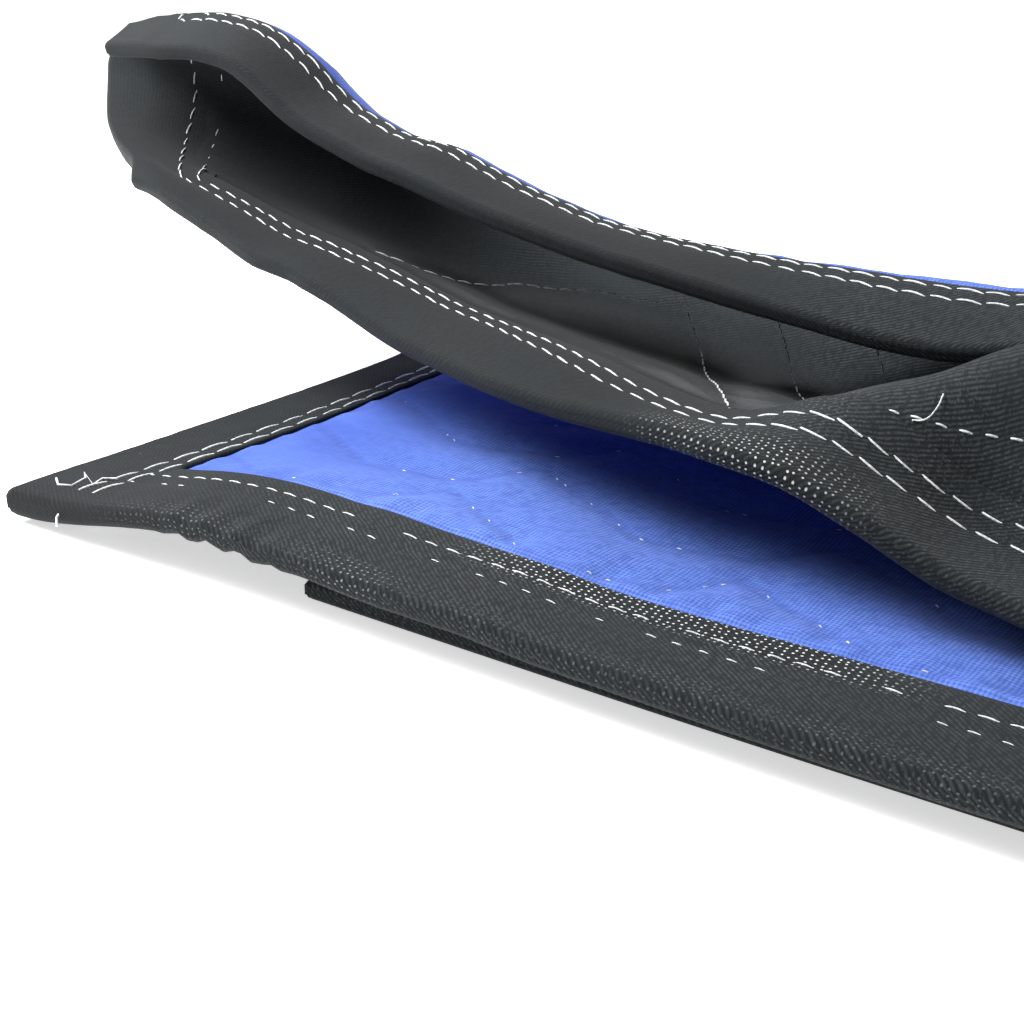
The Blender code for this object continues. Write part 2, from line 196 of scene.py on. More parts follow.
def lower_height(x, y):
    """Height of the middle of the lower layer."""
    tape = 1 - np.minimum(smooth(TAPE_WIDTH, TAPE_SLOPE_END, y), smooth(TAPE_WIDTH, TAPE_SLOPE_END, x))
    step = smooth(*STEP_UP, x) * (1 - smooth(*STEP_DOWN, x))
    hump = np.exp(-(((x - HUMP_X) / HUMP_REACH_X) ** 2) - ((y - HUMP_Y) / HUMP_REACH_Y) ** 2)
    return (
        LOWER_MIDDLE
        + LOWER_EDGE_RISE * tape
        + LOWER_BACK_RISE * smooth(*BACK_SLOPE, y)
        + STEP_OVER_UNDER * step
        + RIPPLE * (1 + np.sin(x / RIPPLE_X + y / RIPPLE_Y))
        + HUMP_RISE * hump
        - LOWER_TIP_DROP * (1 - smooth(0, TIP_REACH, x))
    )


def lower_line(x):
    """The lower layer's section at x, from its front edge to the back."""
    y = np.linspace(0, DEPTH, LINE_POINTS)
    return np.stack([x + FOLD_SKEW * y * (x / LENGTH) ** 2, y, lower_height(x, y)], axis=1)


print("lower layer, mm above the floor at its middle:", round(float(lower_height(150, 90)), 2))

# %% [markdown]
# ## One fine grid for the whole cloth
#
# A grid follows the cloth: columns along its length, rows from the front edge to the back, and the eight
# levels through it. Columns and rows lie about 2.6 mm apart. They fall exactly on the tape's two rows of
# stitches and on its inner edge, so that those are crisp. Past each edge come a few more lines that get
# closer to the middle: they round the folded tape.

# %% Columns and rows
STITCH_ROWS = (19.0, 25.0)
TAPE_PLACES = np.array((0, 1.4, 4, 7, 10.5, 14, 16.7, STITCH_ROWS[0], 22, STITCH_ROWS[1], 27.3, TAPE_WIDTH))
TAPE_CELLS = len(TAPE_PLACES) - 1
CELL = 2.6
QUILT_ROWS = 56
LEFT_TAPE, LIP_TAPE = 0.84, 0.81
LOWER_ROW_SHIFT = 4.5
UPPER_ROW_SHIFTS = (
    (-71, 5.0), (10, 4.0), (40, 0.8), (70, 1.0), (90, 3.0), (114, 6.5), (138, 8.0), (160, 7.0), (185, 5.0),
    (207, 1.5), (300, 2.0),
)
RIGHT_FOLD_STEPS, BACK_FOLD_STEPS = 16, 10
RIM = ((0.3, 1.0), (1.1, 0.94), (1.8, 0.74), (2.3, 0.42))
EDGE = len(RIM)


def evenly(start, end):
    """Places from start to end, without either, about a cell apart."""
    count = max(round(abs(end - start) / CELL), 2)
    return np.linspace(start, end, count + 1)[1:-1]


def row_places(length, shift):
    """Distances of the rows from the front edge. The two stitch rows lie this much nearer to it."""
    marks = (0.0, *STITCH_ROWS, TAPE_WIDTH)
    front = np.interp(TAPE_PLACES, marks, (0.0, STITCH_ROWS[0] - shift, STITCH_ROWS[1] - shift, TAPE_WIDTH))
    back = length - TAPE_PLACES[::-1] * LIP_TAPE
    rows = TAPE_WIDTH + (back[0] - TAPE_WIDTH) * np.arange(1, QUILT_ROWS) / QUILT_ROWS
    return np.r_[front, rows, back]


def column(line, shift):
    """A column of the grid: the points of a section at the rows' places."""
    places = row_places(line_length(line), shift)
    points, ways = along(line, places)
    return points, ways, places


lower_x = np.r_[
    TAPE_PLACES * LEFT_TAPE,
    evenly(TAPE_WIDTH * LEFT_TAPE, UNDER_LEFT),
    UNDER_LEFT + TAPE_PLACES,
    evenly(UNDER_LEFT + TAPE_WIDTH, LENGTH),
    LENGTH,
]
upper_x = np.r_[LENGTH, evenly(LENGTH, NOSE_X + TAPE_WIDTH), NOSE_X + TAPE_PLACES[::-1]]
column_counts = (len(lower_x), RIGHT_FOLD_STEPS - 1, len(upper_x))
print("columns:", column_counts, "rows:", len(row_places(DEPTH, 0)))

# %% [markdown]
# ## The middle of the cloth
#
# The two layers and the half turn of the fold between them make one long sheet. Its lifted end then
# departs a little from the sections, as the real cloth does: the lip's corner is round, the wall bulges
# and the crest rises and falls along its length.

# %% The middle of the cloth
lower_columns = [column(lower_line(x), LOWER_ROW_SHIFT) for x in lower_x]
upper_columns = [column(upper_line(x), np.interp(x, *zip(*UPPER_ROW_SHIFTS))) for x in upper_x]


def right_fold_column(share):
    """A column that has turned this share of the way from the lower layer's end to the upper layer's."""
    low, low_way, low_places = lower_columns[-1]
    high, high_way, _ = upper_columns[0]
    middle = low + (high - low) * share
    radius = (high[:, 2] - low[:, 2]) / 2
    middle[:, 0] += radius * math.sin(math.pi * share)
    middle[:, 2] = (low[:, 2] + high[:, 2]) / 2 - radius * math.cos(math.pi * share)
    return middle, low_way + (high_way - low_way) * share, low_places


fold_columns = [right_fold_column(step / RIGHT_FOLD_STEPS) for step in range(1, RIGHT_FOLD_STEPS)]
columns = lower_columns + fold_columns + upper_columns
lower_count = len(lower_x)
upper_start = lower_count + len(fold_columns)
middle, ways, from_front = (np.array([entry[part] for entry in columns]) for part in range(3))
from_back = from_front[:, -1:] - from_front
along_step = np.linalg.norm(np.diff(middle, axis=0), axis=2).mean(axis=1)
along_cloth = np.r_[0, np.cumsum(along_step)]
cloth_x = np.r_[lower_x, np.full(len(fold_columns), LENGTH), upper_x]
print("cloth length, mm:", round(float(along_cloth[-1])))

# %% The lifted end
NOSE_CORNER, NOSE_BULGE, NOSE_TUCK = 8.5, 3.4, 1.5
NOSE_START = -30
CORNER_FADE, TUCK_FADE, CREST_FADE = (34, 12), (18, 4), (78, 40)
BULGE_RISE, BULGE_FADE = (8, 42), (16, 32)
CALM, CALM_X, CALM_FADE = 0.8, (-35, -15), (20, 4)
CREST_LIFTS = (
    (NOSE_X, -2.5), (-52, -1.5), (-40, 0.8), (-27, 1.6), (-17, 2.0), (-5, -1.4), (7, -0.6),
    (24, 2.0), (46, -0.4), (71, -2.0), (102, -0.4), (129, -0.8), (160, 0.0),
)


def nose_shift(x, before, behind):
    """How the lifted end departs from its sections: its lip corner is round and its wall bulges."""
    end = smooth(NOSE_START, NOSE_X, x)
    corner = NOSE_CORNER * end * smooth(*CORNER_FADE, behind)
    bulge = NOSE_BULGE * end * smooth(*BULGE_RISE, before) * smooth(*BULGE_FADE, behind)
    tuck = NOSE_TUCK * end * smooth(*TUCK_FADE, before)
    lift = np.interp(x, *zip(*CREST_LIFTS)) * smooth(*CREST_FADE, behind)
    lift = lift * (1 - CALM * smooth(*CALM_X, x) * smooth(*CALM_FADE, behind))
    return np.stack([corner - bulge + tuck, np.zeros_like(lift), lift], axis=-1)


is_upper = np.arange(len(cloth_x)) >= upper_start
middle[is_upper] += nose_shift(cloth_x[is_upper, None], from_front[is_upper], from_back[is_upper])


def unit(vectors):
    """The same directions, one long."""
    return vectors / np.linalg.norm(vectors, axis=-1, keepdims=True)


def normals_of(points, directions):
    """Unit normals of the cloth's middle, towards its black side."""
    return unit(np.cross(directions, np.gradient(points, axis=0)))


normals = normals_of(middle, ways)
print("highest point of the cloth's middle, mm:", round(float(middle[..., 2].max()), 1))

# %% [markdown]
# ## Quilting
#
# The two covers are sewn through the padding in nested zigzags. On the upper layer the zigzags climb at
# an angle to the edge, and on the lower one they run shallow. Each is a repeating list of corners in
# cloth sizes (x, distance from the front edge). A cover's height is worked out from its distance to the
# nearest seam: nothing at the seam, and a soft pillow between seams. A seam also gathers the cloth, so
# small wrinkles are strongest beside it.

# %% Seam lines
UPPER_ZIGZAG = (
    (10.0, 34.0), (24.0, 46.0), (40.0, 68.0), (62.0, 85.0), (87.0, 99.0), (99.0, 87.0), (150.0, 10.0),
)
UPPER_ROW_STEP = (11.0, 29.0)
UPPER_PERIOD = 205.0
LOWER_ZIGZAG = ((20.0, 78.0), (56.0, 56.0), (82.0, 61.0))
LOWER_PERIOD = 72.0
LOWER_ROW_STEP = (8.0, 27.0)
UPPER_ROWS, UPPER_TURNS, LOWER_ROWS, LOWER_TURNS = range(4), range(2), range(-1, 4), range(-1, 5)
LOW_CORNERS = 3
FAR_FROM_SEAM = 99.0
FLAP_SEAM = ((177.0, 28.6), (184.0, 31.5), (191.0, 35.0), (198.0, 39.0), (212.0, 43.0), (250.0, 52.0))


def upper_zigzag(row, turn):
    """Corners of one zigzag on the upper layer. Only row 0 has the corners low in the curl's wall."""
    return [
        (x + UPPER_ROW_STEP[0] * row + UPPER_PERIOD * turn, place + UPPER_ROW_STEP[1] * row)
        for x, place in UPPER_ZIGZAG[LOW_CORNERS * (row > 0) :]
    ]


def lower_zigzag(row):
    """Corners of one zigzag on the lower layer."""
    return [
        (x + LOWER_PERIOD * turn + LOWER_ROW_STEP[0] * row, place + LOWER_ROW_STEP[1] * row)
        for turn in LOWER_TURNS
        for x, place in LOWER_ZIGZAG
    ]


upper_zigzags = [upper_zigzag(row, turn) for row in UPPER_ROWS for turn in UPPER_TURNS]
upper_seams = [*upper_zigzags, FLAP_SEAM]
lower_seams = [lower_zigzag(row) for row in LOWER_ROWS]


def distance_to(seams, x, place):
    """Distance in mm from each point (x, place) to the nearest of these seams."""
    best = np.full(np.broadcast(x, place).shape, FAR_FROM_SEAM)
    for seam in seams:
        for (x0, y0), (x1, y1) in zip(seam, seam[1:]):
            dx, dy = x1 - x0, y1 - y0
            share = np.clip(((x - x0) * dx + (place - y0) * dy) / (dx * dx + dy * dy), 0, 1)
            best = np.minimum(best, np.hypot(x - x0 - share * dx, place - y0 - share * dy))
    return best


seam_distance = np.where(
    is_upper[:, None],
    distance_to(upper_seams, cloth_x[:, None], from_front),
    distance_to(lower_seams, cloth_x[:, None], from_front),
)
print("seams:", len(upper_seams), "upper and", len(lower_seams), "lower")

# %% Puffs and wrinkles
PUFF, PUFF_REACH = 1.15, 7.0
EDGE_PUFF, EDGE_PUFF_REACH = 0.9, 12.0
WRINKLE, WRINKLE_SIZE = 0.34, 11.0
SCALLOP, SCALLOP_PITCH = 0.55, 12.0
SCALLOP_PLACE, SCALLOP_REACH = 4, 4
SOFT_HUMP, SOFT_HUMP_SIZE, SOFT_HUMP_START = 0.45, 50.0, 60
GATHER, SEAM_GATHER_REACH, TAPE_GATHER_REACH = 0.35, 6, 7
EDGE_PUFF_RISE, EDGE_PUFF_TOP = 2.4, 2.5
COVER_FADE = 5
BLUE_SEED, BLACK_SEED, HUMP_SEED, FINE_SEED_STEP = 3.0, 21.0, 5.0, 7
BLACK_EDGE_SHARE = 0.6


def noise_field(x, y, size, seed):
    """Smooth noise between about -1 and 1, with bumps this many mm apart."""
    shape = np.broadcast(x, y).shape
    x, y = np.broadcast_to(x, shape).ravel(), np.broadcast_to(y, shape).ravel()
    values = [noise.noise(Vector((a / size, b / size, seed))) for a, b in zip(x.tolist(), y.tolist())]
    return np.array(values).reshape(shape)


grid_u = along_cloth[:, None]
back_gap, left_gap = TAPE_WIDTH * (1 - LIP_TAPE), TAPE_WIDTH * (1 - LEFT_TAPE)
marks = np.arange(middle.shape[1])
tape_count = len(TAPE_PLACES)
tape_front = np.pad(TAPE_PLACES, (0, len(marks) - tape_count))
front_depth = np.where(marks < tape_count, tape_front, from_front)
back_depth = np.where(marks >= len(marks) - tape_count, from_back / LIP_TAPE, from_back + back_gap)
left_depth = np.where(grid_u < TAPE_WIDTH * LEFT_TAPE + 0.1, grid_u / LEFT_TAPE, grid_u + left_gap)
ends = np.minimum(left_depth, along_cloth[-1] - grid_u)
tape_depth = np.minimum(np.minimum(front_depth, back_depth), ends)
inside = tape_depth - TAPE_WIDTH
pillow = 1 - np.exp(-((np.minimum(seam_distance, np.maximum(inside, 0)) / PUFF_REACH) ** 2))
gather = GATHER + np.exp(-seam_distance / SEAM_GATHER_REACH)
gather = gather + np.exp(-np.maximum(inside, 0) / TAPE_GATHER_REACH)
fade_in = smooth(0, COVER_FADE, inside)
edge_place = np.where(ends < np.minimum(from_front, from_back), from_front, grid_u)
scallop = np.cos(2 * math.pi * edge_place / SCALLOP_PITCH) * ~is_upper[:, None]
scallop = scallop * np.exp(-(((inside - SCALLOP_PLACE) / SCALLOP_REACH) ** 2))


def cover_puff(seed, edge):
    """How far a cover stands out from its flat level, in mm. It swells by edge along the tape."""
    wrinkle = noise_field(grid_u, from_front, WRINKLE_SIZE, seed)
    fine = noise_field(grid_u, from_front, WRINKLE_SIZE / 2, seed + FINE_SEED_STEP)
    puff = PUFF * pillow + fade_in * gather * WRINKLE * (wrinkle + 0.5 * fine) + SCALLOP * scallop * fade_in
    fall = np.exp(-np.maximum(inside - EDGE_PUFF_TOP, 0) / EDGE_PUFF_REACH)
    swell = edge * smooth(0, EDGE_PUFF_RISE, inside) * fall
    return np.where(inside > 0.01, np.maximum(puff + swell, -0.1), 0.0)


blue_puff = cover_puff(BLUE_SEED, EDGE_PUFF)
black_puff = cover_puff(BLACK_SEED, BLACK_EDGE_SHARE * EDGE_PUFF)
soft = SOFT_HUMP * noise_field(grid_u, from_front, SOFT_HUMP_SIZE, HUMP_SEED)
middle = middle + normals * (soft * smooth(0, SOFT_HUMP_START, grid_u))[..., None]
print("blue cover puffs up to", round(float(blue_puff.max()), 2), "mm")

# %% [markdown]
# ## The tape's own relief
#
# The tape is pulled down by its two rows of stitches and swells beside them. Its inner edge is rounded
# off. Its ends overlap in a mitre at the free corner, which makes it thicker there, and near that corner
# the sewing has gathered the folded edge into a few waves.

# %% Relief of the tape
STITCH_GROOVE, TAPE_SWELL, TAPE_RUMPLE = 0.28, 0.22, 0.16
GROOVE_REACH, SWELL_PLACE, SWELL_REACH = 1.6, 9, 7
RUMPLE_STRETCH, RUMPLE_SIZE, RUMPLE_SEED = 1.4, 7.0, 33.0
INNER_EDGE_CUT, INNER_EDGE_START = -0.55 * TAPE, TAPE_WIDTH - 0.2
EDGE_WAVE, EDGE_WAVE_PITCH = 0.7, 9.0
EDGE_WAVE_START, EDGE_WAVE_END, EDGE_WAVE_DEPTH = (44, 54), (76, 86), (2, 13)
MITRE_BULK, MITRE_REACH = 1.0, 24.0


def mitre_rise(x, y):
    """Where the tape's ends overlap at the free corner it is thicker, by this many mm a side."""
    return MITRE_BULK * np.exp(-((np.hypot(x, y) / MITRE_REACH) ** 2))


def stitch_groove(depth):
    """How deep the two rows of stitches pull the tape in, in mm."""
    return STITCH_GROOVE * sum(np.exp(-(((depth - place) / GROOVE_REACH) ** 2)) for place in STITCH_ROWS)


swell = np.exp(-(((tape_depth - SWELL_PLACE) / SWELL_REACH) ** 2))
rumple = noise_field(grid_u * RUMPLE_STRETCH, from_front * RUMPLE_STRETCH, RUMPLE_SIZE, RUMPLE_SEED)
tape_relief = TAPE_SWELL * swell - stitch_groove(tape_depth) + TAPE_RUMPLE * rumple
tape_relief = tape_relief + mitre_rise(grid_u, from_front)
tape_relief = np.where(tape_depth > INNER_EDGE_START, INNER_EDGE_CUT, tape_relief)
wave_window = smooth(*EDGE_WAVE_START, grid_u) * (1 - smooth(*EDGE_WAVE_END, grid_u))
wave_window = wave_window * (1 - smooth(*EDGE_WAVE_DEPTH, from_front))
edge_wave = EDGE_WAVE * np.sin(2 * math.pi * grid_u / EDGE_WAVE_PITCH) * wave_window
middle = middle + normals * edge_wave[..., None]
print("tape relief, mm:", round(float(tape_relief.min()), 2), "to", round(float(tape_relief.max()), 2))

# %% Rim and levels
def extend(points):
    """Adds the rim's lines past the first and the last line of a grid."""
    first, last = unit(points[0] - points[1]), unit(points[-1] - points[-2])
    before = [points[0] + first * out for out, _ in reversed(RIM)]
    after = [points[-1] + last * out for out, _ in RIM]
    return np.concatenate([before, points, after])


def extend_grid(points):
    """Adds the rim's lines on all four sides of a grid."""
    return extend(extend(points.swapaxes(0, 1)).swapaxes(0, 1))


def widen(values):
    """Repeats a grid's edge values out to the rim's lines."""
    return np.pad(values, [(EDGE, EDGE), (EDGE, EDGE)] + [(0, 0)] * (values.ndim - 2), mode="edge")


def rim_scale(count):
    """How thick the cloth still is at each line of a grid: it gets thinner out over the rim."""
    shares = [share for _, share in RIM]
    return np.r_[shares[::-1], np.ones(count - 2 * EDGE), shares]


def layered(points, facing, blue, black, tape):
    """All eight levels of a grid of cloth, its rim included, as an array (i, j, level, xyz)."""
    wide_points, wide_facing = extend_grid(points), widen(facing)
    count_i, count_j = wide_points.shape[:2]
    heights = np.broadcast_to(LEVELS, (count_i, count_j, len(LEVELS))).copy()
    heights[..., BLUE_FACE] -= widen(blue)
    heights[..., BLACK_FACE] += widen(black)
    heights[..., BLUE_TAPE_FACE] -= widen(tape)
    heights[..., BLACK_TAPE_FACE] += widen(tape)
    heights *= np.minimum(rim_scale(count_i)[:, None], rim_scale(count_j)[None, :])[..., None]
    return wide_points[:, :, None, :] + wide_facing[:, :, None, :] * heights[..., None], heights


top, top_heights = layered(middle, normals, blue_puff, black_puff, tape_relief)
top_normals = widen(normals)
print("grid:", top.shape[:3])

# %% [markdown]
# ## The layer below
#
# At the back the cloth folds under and comes forward again on the floor, where a strip of its bound edge
# shows under the front. It shares the fold's first row with the grid above.

# %% Grid of the layer below
UNDER_SLIP, UNDER_SLIP_X, UNDER_SLIP_Y = 2.0, (150, 290), (130, 40)
UNDER_SLOPE_X, UNDER_SLOPE_Y = 140, 58
under_columns = np.flatnonzero(lower_x >= UNDER_LEFT)
under_x = lower_x[under_columns]
UNDER_TAPE_HEIGHT, UNDER_MIDDLE = -LEVELS[BLUE_TAPE_FACE], -LEVELS[BLUE_FACE]
back_row = middle.shape[1] - 1
fold_start = top[EDGE + under_columns, EDGE + back_row]
start = (fold_start[:, BLUE_FACE + 1] + fold_start[:, BLUE_FACE + 2]) / 2


def under_height(x, y):
    """Height of the middle of the layer below."""
    tape = 1 - np.minimum(
        smooth(UNDER_FRONT + TAPE_WIDTH, UNDER_SLOPE_Y, y),
        smooth(UNDER_LEFT + TAPE_WIDTH + 2, UNDER_SLOPE_X, x),
    )
    return UNDER_MIDDLE + (UNDER_TAPE_HEIGHT - UNDER_MIDDLE) * tape


fold_turn = np.linspace(0, math.pi, BACK_FOLD_STEPS + 1)
fold_radius = (start[:, 2] - under_height(under_x, DEPTH)) / 2
zero = np.zeros((len(under_x), len(fold_turn)))
fold_points = start[:, None, :] + np.stack(
    [zero, fold_radius[:, None] * np.sin(fold_turn), fold_radius[:, None] * (np.cos(fold_turn) - 1)], axis=2
)
fold_ways = np.stack([zero, zero + np.cos(fold_turn), zero - np.sin(fold_turn)], axis=2)
under_depths = np.r_[evenly(DEPTH, UNDER_FRONT + TAPE_WIDTH), UNDER_FRONT + TAPE_PLACES[::-1]]
flat_x = under_x[:, None] + FOLD_SKEW * under_depths[None, :] * (under_x[:, None] / LENGTH) ** 2
flat_y = np.broadcast_to(under_depths, flat_x.shape)
slip = smooth(*UNDER_SLIP_X, under_x)[:, None] * smooth(*UNDER_SLIP_Y, flat_y)
flat_y = flat_y + UNDER_SLIP * slip
flat_points = np.stack([flat_x, flat_y, under_height(under_x[:, None], flat_y)], axis=2)
flat_ways = np.broadcast_to((0.0, -1.0, 0.0), flat_points.shape)
under_middle = np.concatenate([fold_points, flat_points], axis=1)
under_normals = normals_of(under_middle, np.concatenate([fold_ways, flat_ways], axis=1))
print("grid of the layer below:", under_middle.shape[:2])

# %% [markdown]
# ## Levels of the layer below
#
# This layer is mostly hidden, so it gets its tape's grooves and a soft black cover and no quilting.

# %% Levels of the layer below
UNDER_PUFF, UNDER_PUFF_REACH = 0.7, 12
under_reach = np.linalg.norm(np.diff(under_middle, axis=1), axis=2).cumsum(axis=1)
under_v = np.concatenate([np.zeros((len(under_x), 1)), under_reach], axis=1)
under_from_front = under_v[:, -1:] - under_v
under_from_left = (under_x - UNDER_LEFT)[:, None]
under_depth = np.minimum(under_from_front, under_from_left)
under_inside = np.minimum(under_depth - TAPE_WIDTH, under_v - UNDER_PUFF_REACH)
under_black = UNDER_PUFF * smooth(0, UNDER_PUFF_REACH, under_inside)
under_relief = np.where(under_depth > INNER_EDGE_START, INNER_EDGE_CUT, -stitch_groove(under_depth))
under, under_heights = layered(
    under_middle, under_normals, np.zeros_like(under_black), under_black, under_relief
)
under[EDGE : EDGE + len(under_x), EDGE] = fold_start
print("lowest point of the cloth, mm:", round(float(min(under[..., 2].min(), top[..., 2].min())), 2))

# %% [markdown]
# ## From grid boxes to closed meshes
#
# A piece is a set of grid boxes: a cover fills one slab, and the tape fills a slab on each side and a
# wall round the edge. The mesh is every face between a filled box and an empty one, so it is closed
# and its faces point outwards. The same function makes all four pieces. Each corner of a face also
# gets its place on the flat cloth as a UV, in metres, which is what the weaves are drawn on.

# %% Meshes of grid boxes
SHARP_ANGLE = math.radians(55)


def new_object(name, data):
    """An object of this data at the origin of the scene."""
    made = bpy.data.objects.new(name, data)
    bpy.context.scene.collection.objects.link(made)
    return made


def boundary_faces(cells):
    """Corner places (i, j, k) of each face between a filled box and an empty one, all wound one way."""
    filled = np.pad(cells, 1).astype(np.int8)
    faces = []
    for axis in range(3):
        step = np.diff(filled, axis=axis)
        window = [slice(1, -1)] * 3
        window[axis] = slice(None)
        step = step[tuple(window)]
        one, two = (axis + 1) % 3, (axis + 2) % 3
        ring = np.repeat(np.argwhere(step)[:, None, :], 4, axis=1)
        ring[:, 1:3, one] += 1
        ring[:, 2:4, two] += 1
        turned = step[step != 0] > 0
        ring[turned] = ring[turned][:, ::-1]
        faces.append(ring)
    return np.concatenate(faces)


print("faces round a single box:", len(boundary_faces(np.ones((1, 1, 1), dtype=bool))))

# %% From boxes to one mesh
def gather_faces(grids):
    """Points, quads, UVs and looks of several grids of boxes, joined where they touch."""
    corners, uvs, looks = [], [], []
    for points, cells, uv, look_of in grids:
        ring = boundary_faces(cells)
        where = tuple(ring[..., axis] for axis in range(3))
        corners.append(points[where])
        uvs.append(uv(ring))
        looks.append(look_of[where[:2]])
    corners, uvs, looks = np.concatenate(corners), np.concatenate(uvs), np.concatenate(looks)
    keys, numbers = np.unique(np.round(corners.reshape(-1, 3), 4), axis=0, return_inverse=True)
    quads = numbers.reshape(-1, 4)
    _, group, count = np.unique(np.sort(quads, axis=1), axis=0, return_inverse=True, return_counts=True)
    single = count[group.ravel()] == 1
    quads, uvs, looks = quads[single], uvs[single], looks[single]
    used, quads = np.unique(quads, return_inverse=True)
    return keys[used], quads.reshape(-1, 4), uvs, looks


def cloth_piece(name, grids):
    """A closed mesh object, in metres and in the model's frame."""
    points, quads, uvs, looks = gather_faces(grids)
    points = (points - REST_POINT) * MM
    p = points[quads]
    volume = np.einsum("ij,ij->", p[:, 0], np.cross(p[:, 1], p[:, 2]) + np.cross(p[:, 2], p[:, 3]))
    if volume < 0:
        quads, uvs, looks = quads[:, ::-1], uvs[:, ::-1], looks[:, ::-1]
    mesh = bpy.data.meshes.new(name)
    mesh.from_pydata(points.tolist(), [], quads.tolist())
    mesh.uv_layers.new(name="cloth").data.foreach_set("uv", (uvs * MM).ravel())
    mesh.attributes.new("look", "FLOAT_VECTOR", "CORNER").data.foreach_set("vector", looks.ravel())
    mesh.shade_smooth()
    mesh.set_sharp_from_angle(angle=SHARP_ANGLE)
    surface = sum(face.area for face in mesh.polygons)
    print(name, len(quads) * 2, "triangles, cloth area", round(surface / 2, 4), "square metres")
    return new_object(name, mesh)


# %% [markdown]
# ## What the materials need to know of the cloth
#
# Where the knit faces the light at the right slant its loops glint. Here the glints are a painted highlight:
# pale dots painted into the colour in fixed places, along the tape's inner edge in the middle of the front,
# along its outer edge, and over the turned flap. The far cloth also looks smoother than the near. Both are
# painted on the grid, with the distance to the nearest seam, and go to the materials as one attribute.

# %% Where the knit's glints are painted
def window(value, start, end, soft):
    """1 between start and end, and 0 outside, with soft steps."""
    return smooth(start - soft, start, value) * (1 - smooth(end, end + soft, value))


INNER_GLINT_DEPTH, INNER_GLINT_X = (24.5, 30.0, 2.5), (128, 182, 26)
OUTER_GLINT_DEPTH, OUTER_GLINT_X, OUTER_GLINT = (2.0, 7.0), (45, 215, 24), 0.5
FLAP_GLINT_DEPTH, FLAP_GLINT_X = (4.0, 15.0), (142, 172, 16)
FLAP_COVER_DEPTH, FLAP_COVER_X, FLAP_COVER_GLINT = (60.0, 90.0), (165, 300, 20), 0.2
PATCH_SIZE, PATCH_SEED = 22.0, 51.0
LOWER_CRISP_X, UPPER_CRISP_X = (30, 90), (118, 150)
UNDER_LOOK = (0.05, 0.9, 6.0)

# Painted highlight: these masks say where pale glint dots are painted into the knit's colour.
patches = 0.55 + 0.6 * noise_field(grid_u, from_front, PATCH_SIZE, PATCH_SEED)
on_lower = np.arange(len(cloth_x))[:, None] < lower_count
column_x = np.broadcast_to(cloth_x[:, None], from_front.shape)
inner_glint = window(front_depth, *INNER_GLINT_DEPTH) * window(column_x, *INNER_GLINT_X)
outer_glint = (1 - smooth(*OUTER_GLINT_DEPTH, front_depth)) * window(column_x, *OUTER_GLINT_X) * patches**3
flap_glint = window(column_x, *FLAP_GLINT_X) * (1 - smooth(*FLAP_GLINT_DEPTH, front_depth)) * patches
flap_cover_glint = window(column_x, *FLAP_COVER_X) * (1 - smooth(*FLAP_COVER_DEPTH, from_front)) * patches**3
lower_glint = np.maximum(inner_glint, OUTER_GLINT * outer_glint)
upper_glint = np.maximum(flap_glint, FLAP_COVER_GLINT * flap_cover_glint)
glint = np.where(on_lower, lower_glint, upper_glint)
crisp = np.where(on_lower, smooth(*LOWER_CRISP_X, column_x), smooth(*UPPER_CRISP_X, column_x))
look = np.stack([np.clip(glint, 0, 1), 0.3 + 0.7 * crisp, np.minimum(seam_distance, UNDER_LOOK[2])], axis=-1)
top_look = widen(look)
under_look = widen(np.broadcast_to(UNDER_LOOK, (*under_middle.shape[:2], 3)))
print("knit glints over", round(float((glint > 0.3).mean() * 100), 1), "% of the grid")

# %% [markdown]
# ## Where each point lies on the flat cloth
#
# A cover's UV is (along the cloth, from the front edge). The tape's weave follows the tape, so its UV is
# (along the edge, in from the edge), and the two meet in a mitre at each corner. On the rounded rim
# the second number runs on over the fold.

# %% Flat places
wide_u = np.r_[
    [-out for out, _ in reversed(RIM)], along_cloth, [along_cloth[-1] + out for out, _ in RIM]
]
wide_v = np.concatenate([
    [[-out] * len(columns) for out, _ in reversed(RIM)],
    from_front.T,
    [from_front[:, -1] + out for out, _ in RIM],
]).T
wide_v = np.pad(wide_v, [(EDGE, EDGE), (0, 0)], mode="edge")
wide_length = wide_v[:, -1 - EDGE][:, None]
UNDER_SHIFT, END_SHIFT = 2000.0, 1000.0
RIM_TURN, UNDER_RIM_STEP = 2.4, 0.6
print("flat cloth, mm:", round(float(wide_u.max())), "by", round(float(wide_v.max())))

# %% UVs of each kind of piece
def cover_uv(ring):
    """Flat place of a cover of the upper grid."""
    i, j = ring[..., 0], ring[..., 1]
    return np.stack([wide_u[i], wide_v[i, j]], axis=-1)


def over_the_rim(depth, height, limit):
    """Carries the distance from the edge on over the rounded rim, from the black side to the blue one."""
    share = np.clip(height / (LEVELS[-1] * RIM[-1][1]), -1, 1)
    return np.where(depth < -limit + 0.01, depth - RIM_TURN * (1 - share) / 2, depth)


def tape_uv(ring):
    """Flat place of the long tape: along the edge, and in from it."""
    i, j, k = (ring[..., axis] for axis in range(3))
    from_ends = np.minimum(wide_u[i], along_cloth[-1] - wide_u[i])
    from_sides = np.minimum(wide_v[i, j], wide_length[i, 0] - wide_v[i, j])
    on_end = (from_ends.mean(axis=1) < from_sides.mean(axis=1))[:, None]
    depth = np.where(on_end, from_ends, from_sides)
    side = np.where(i >= EDGE + upper_start, 1, -1)
    depth = over_the_rim(depth, side * top_heights[i, j, k], RIM[-1][0])
    return np.stack([np.where(on_end, wide_v[i, j] + END_SHIFT, wide_u[i]), depth], axis=-1)


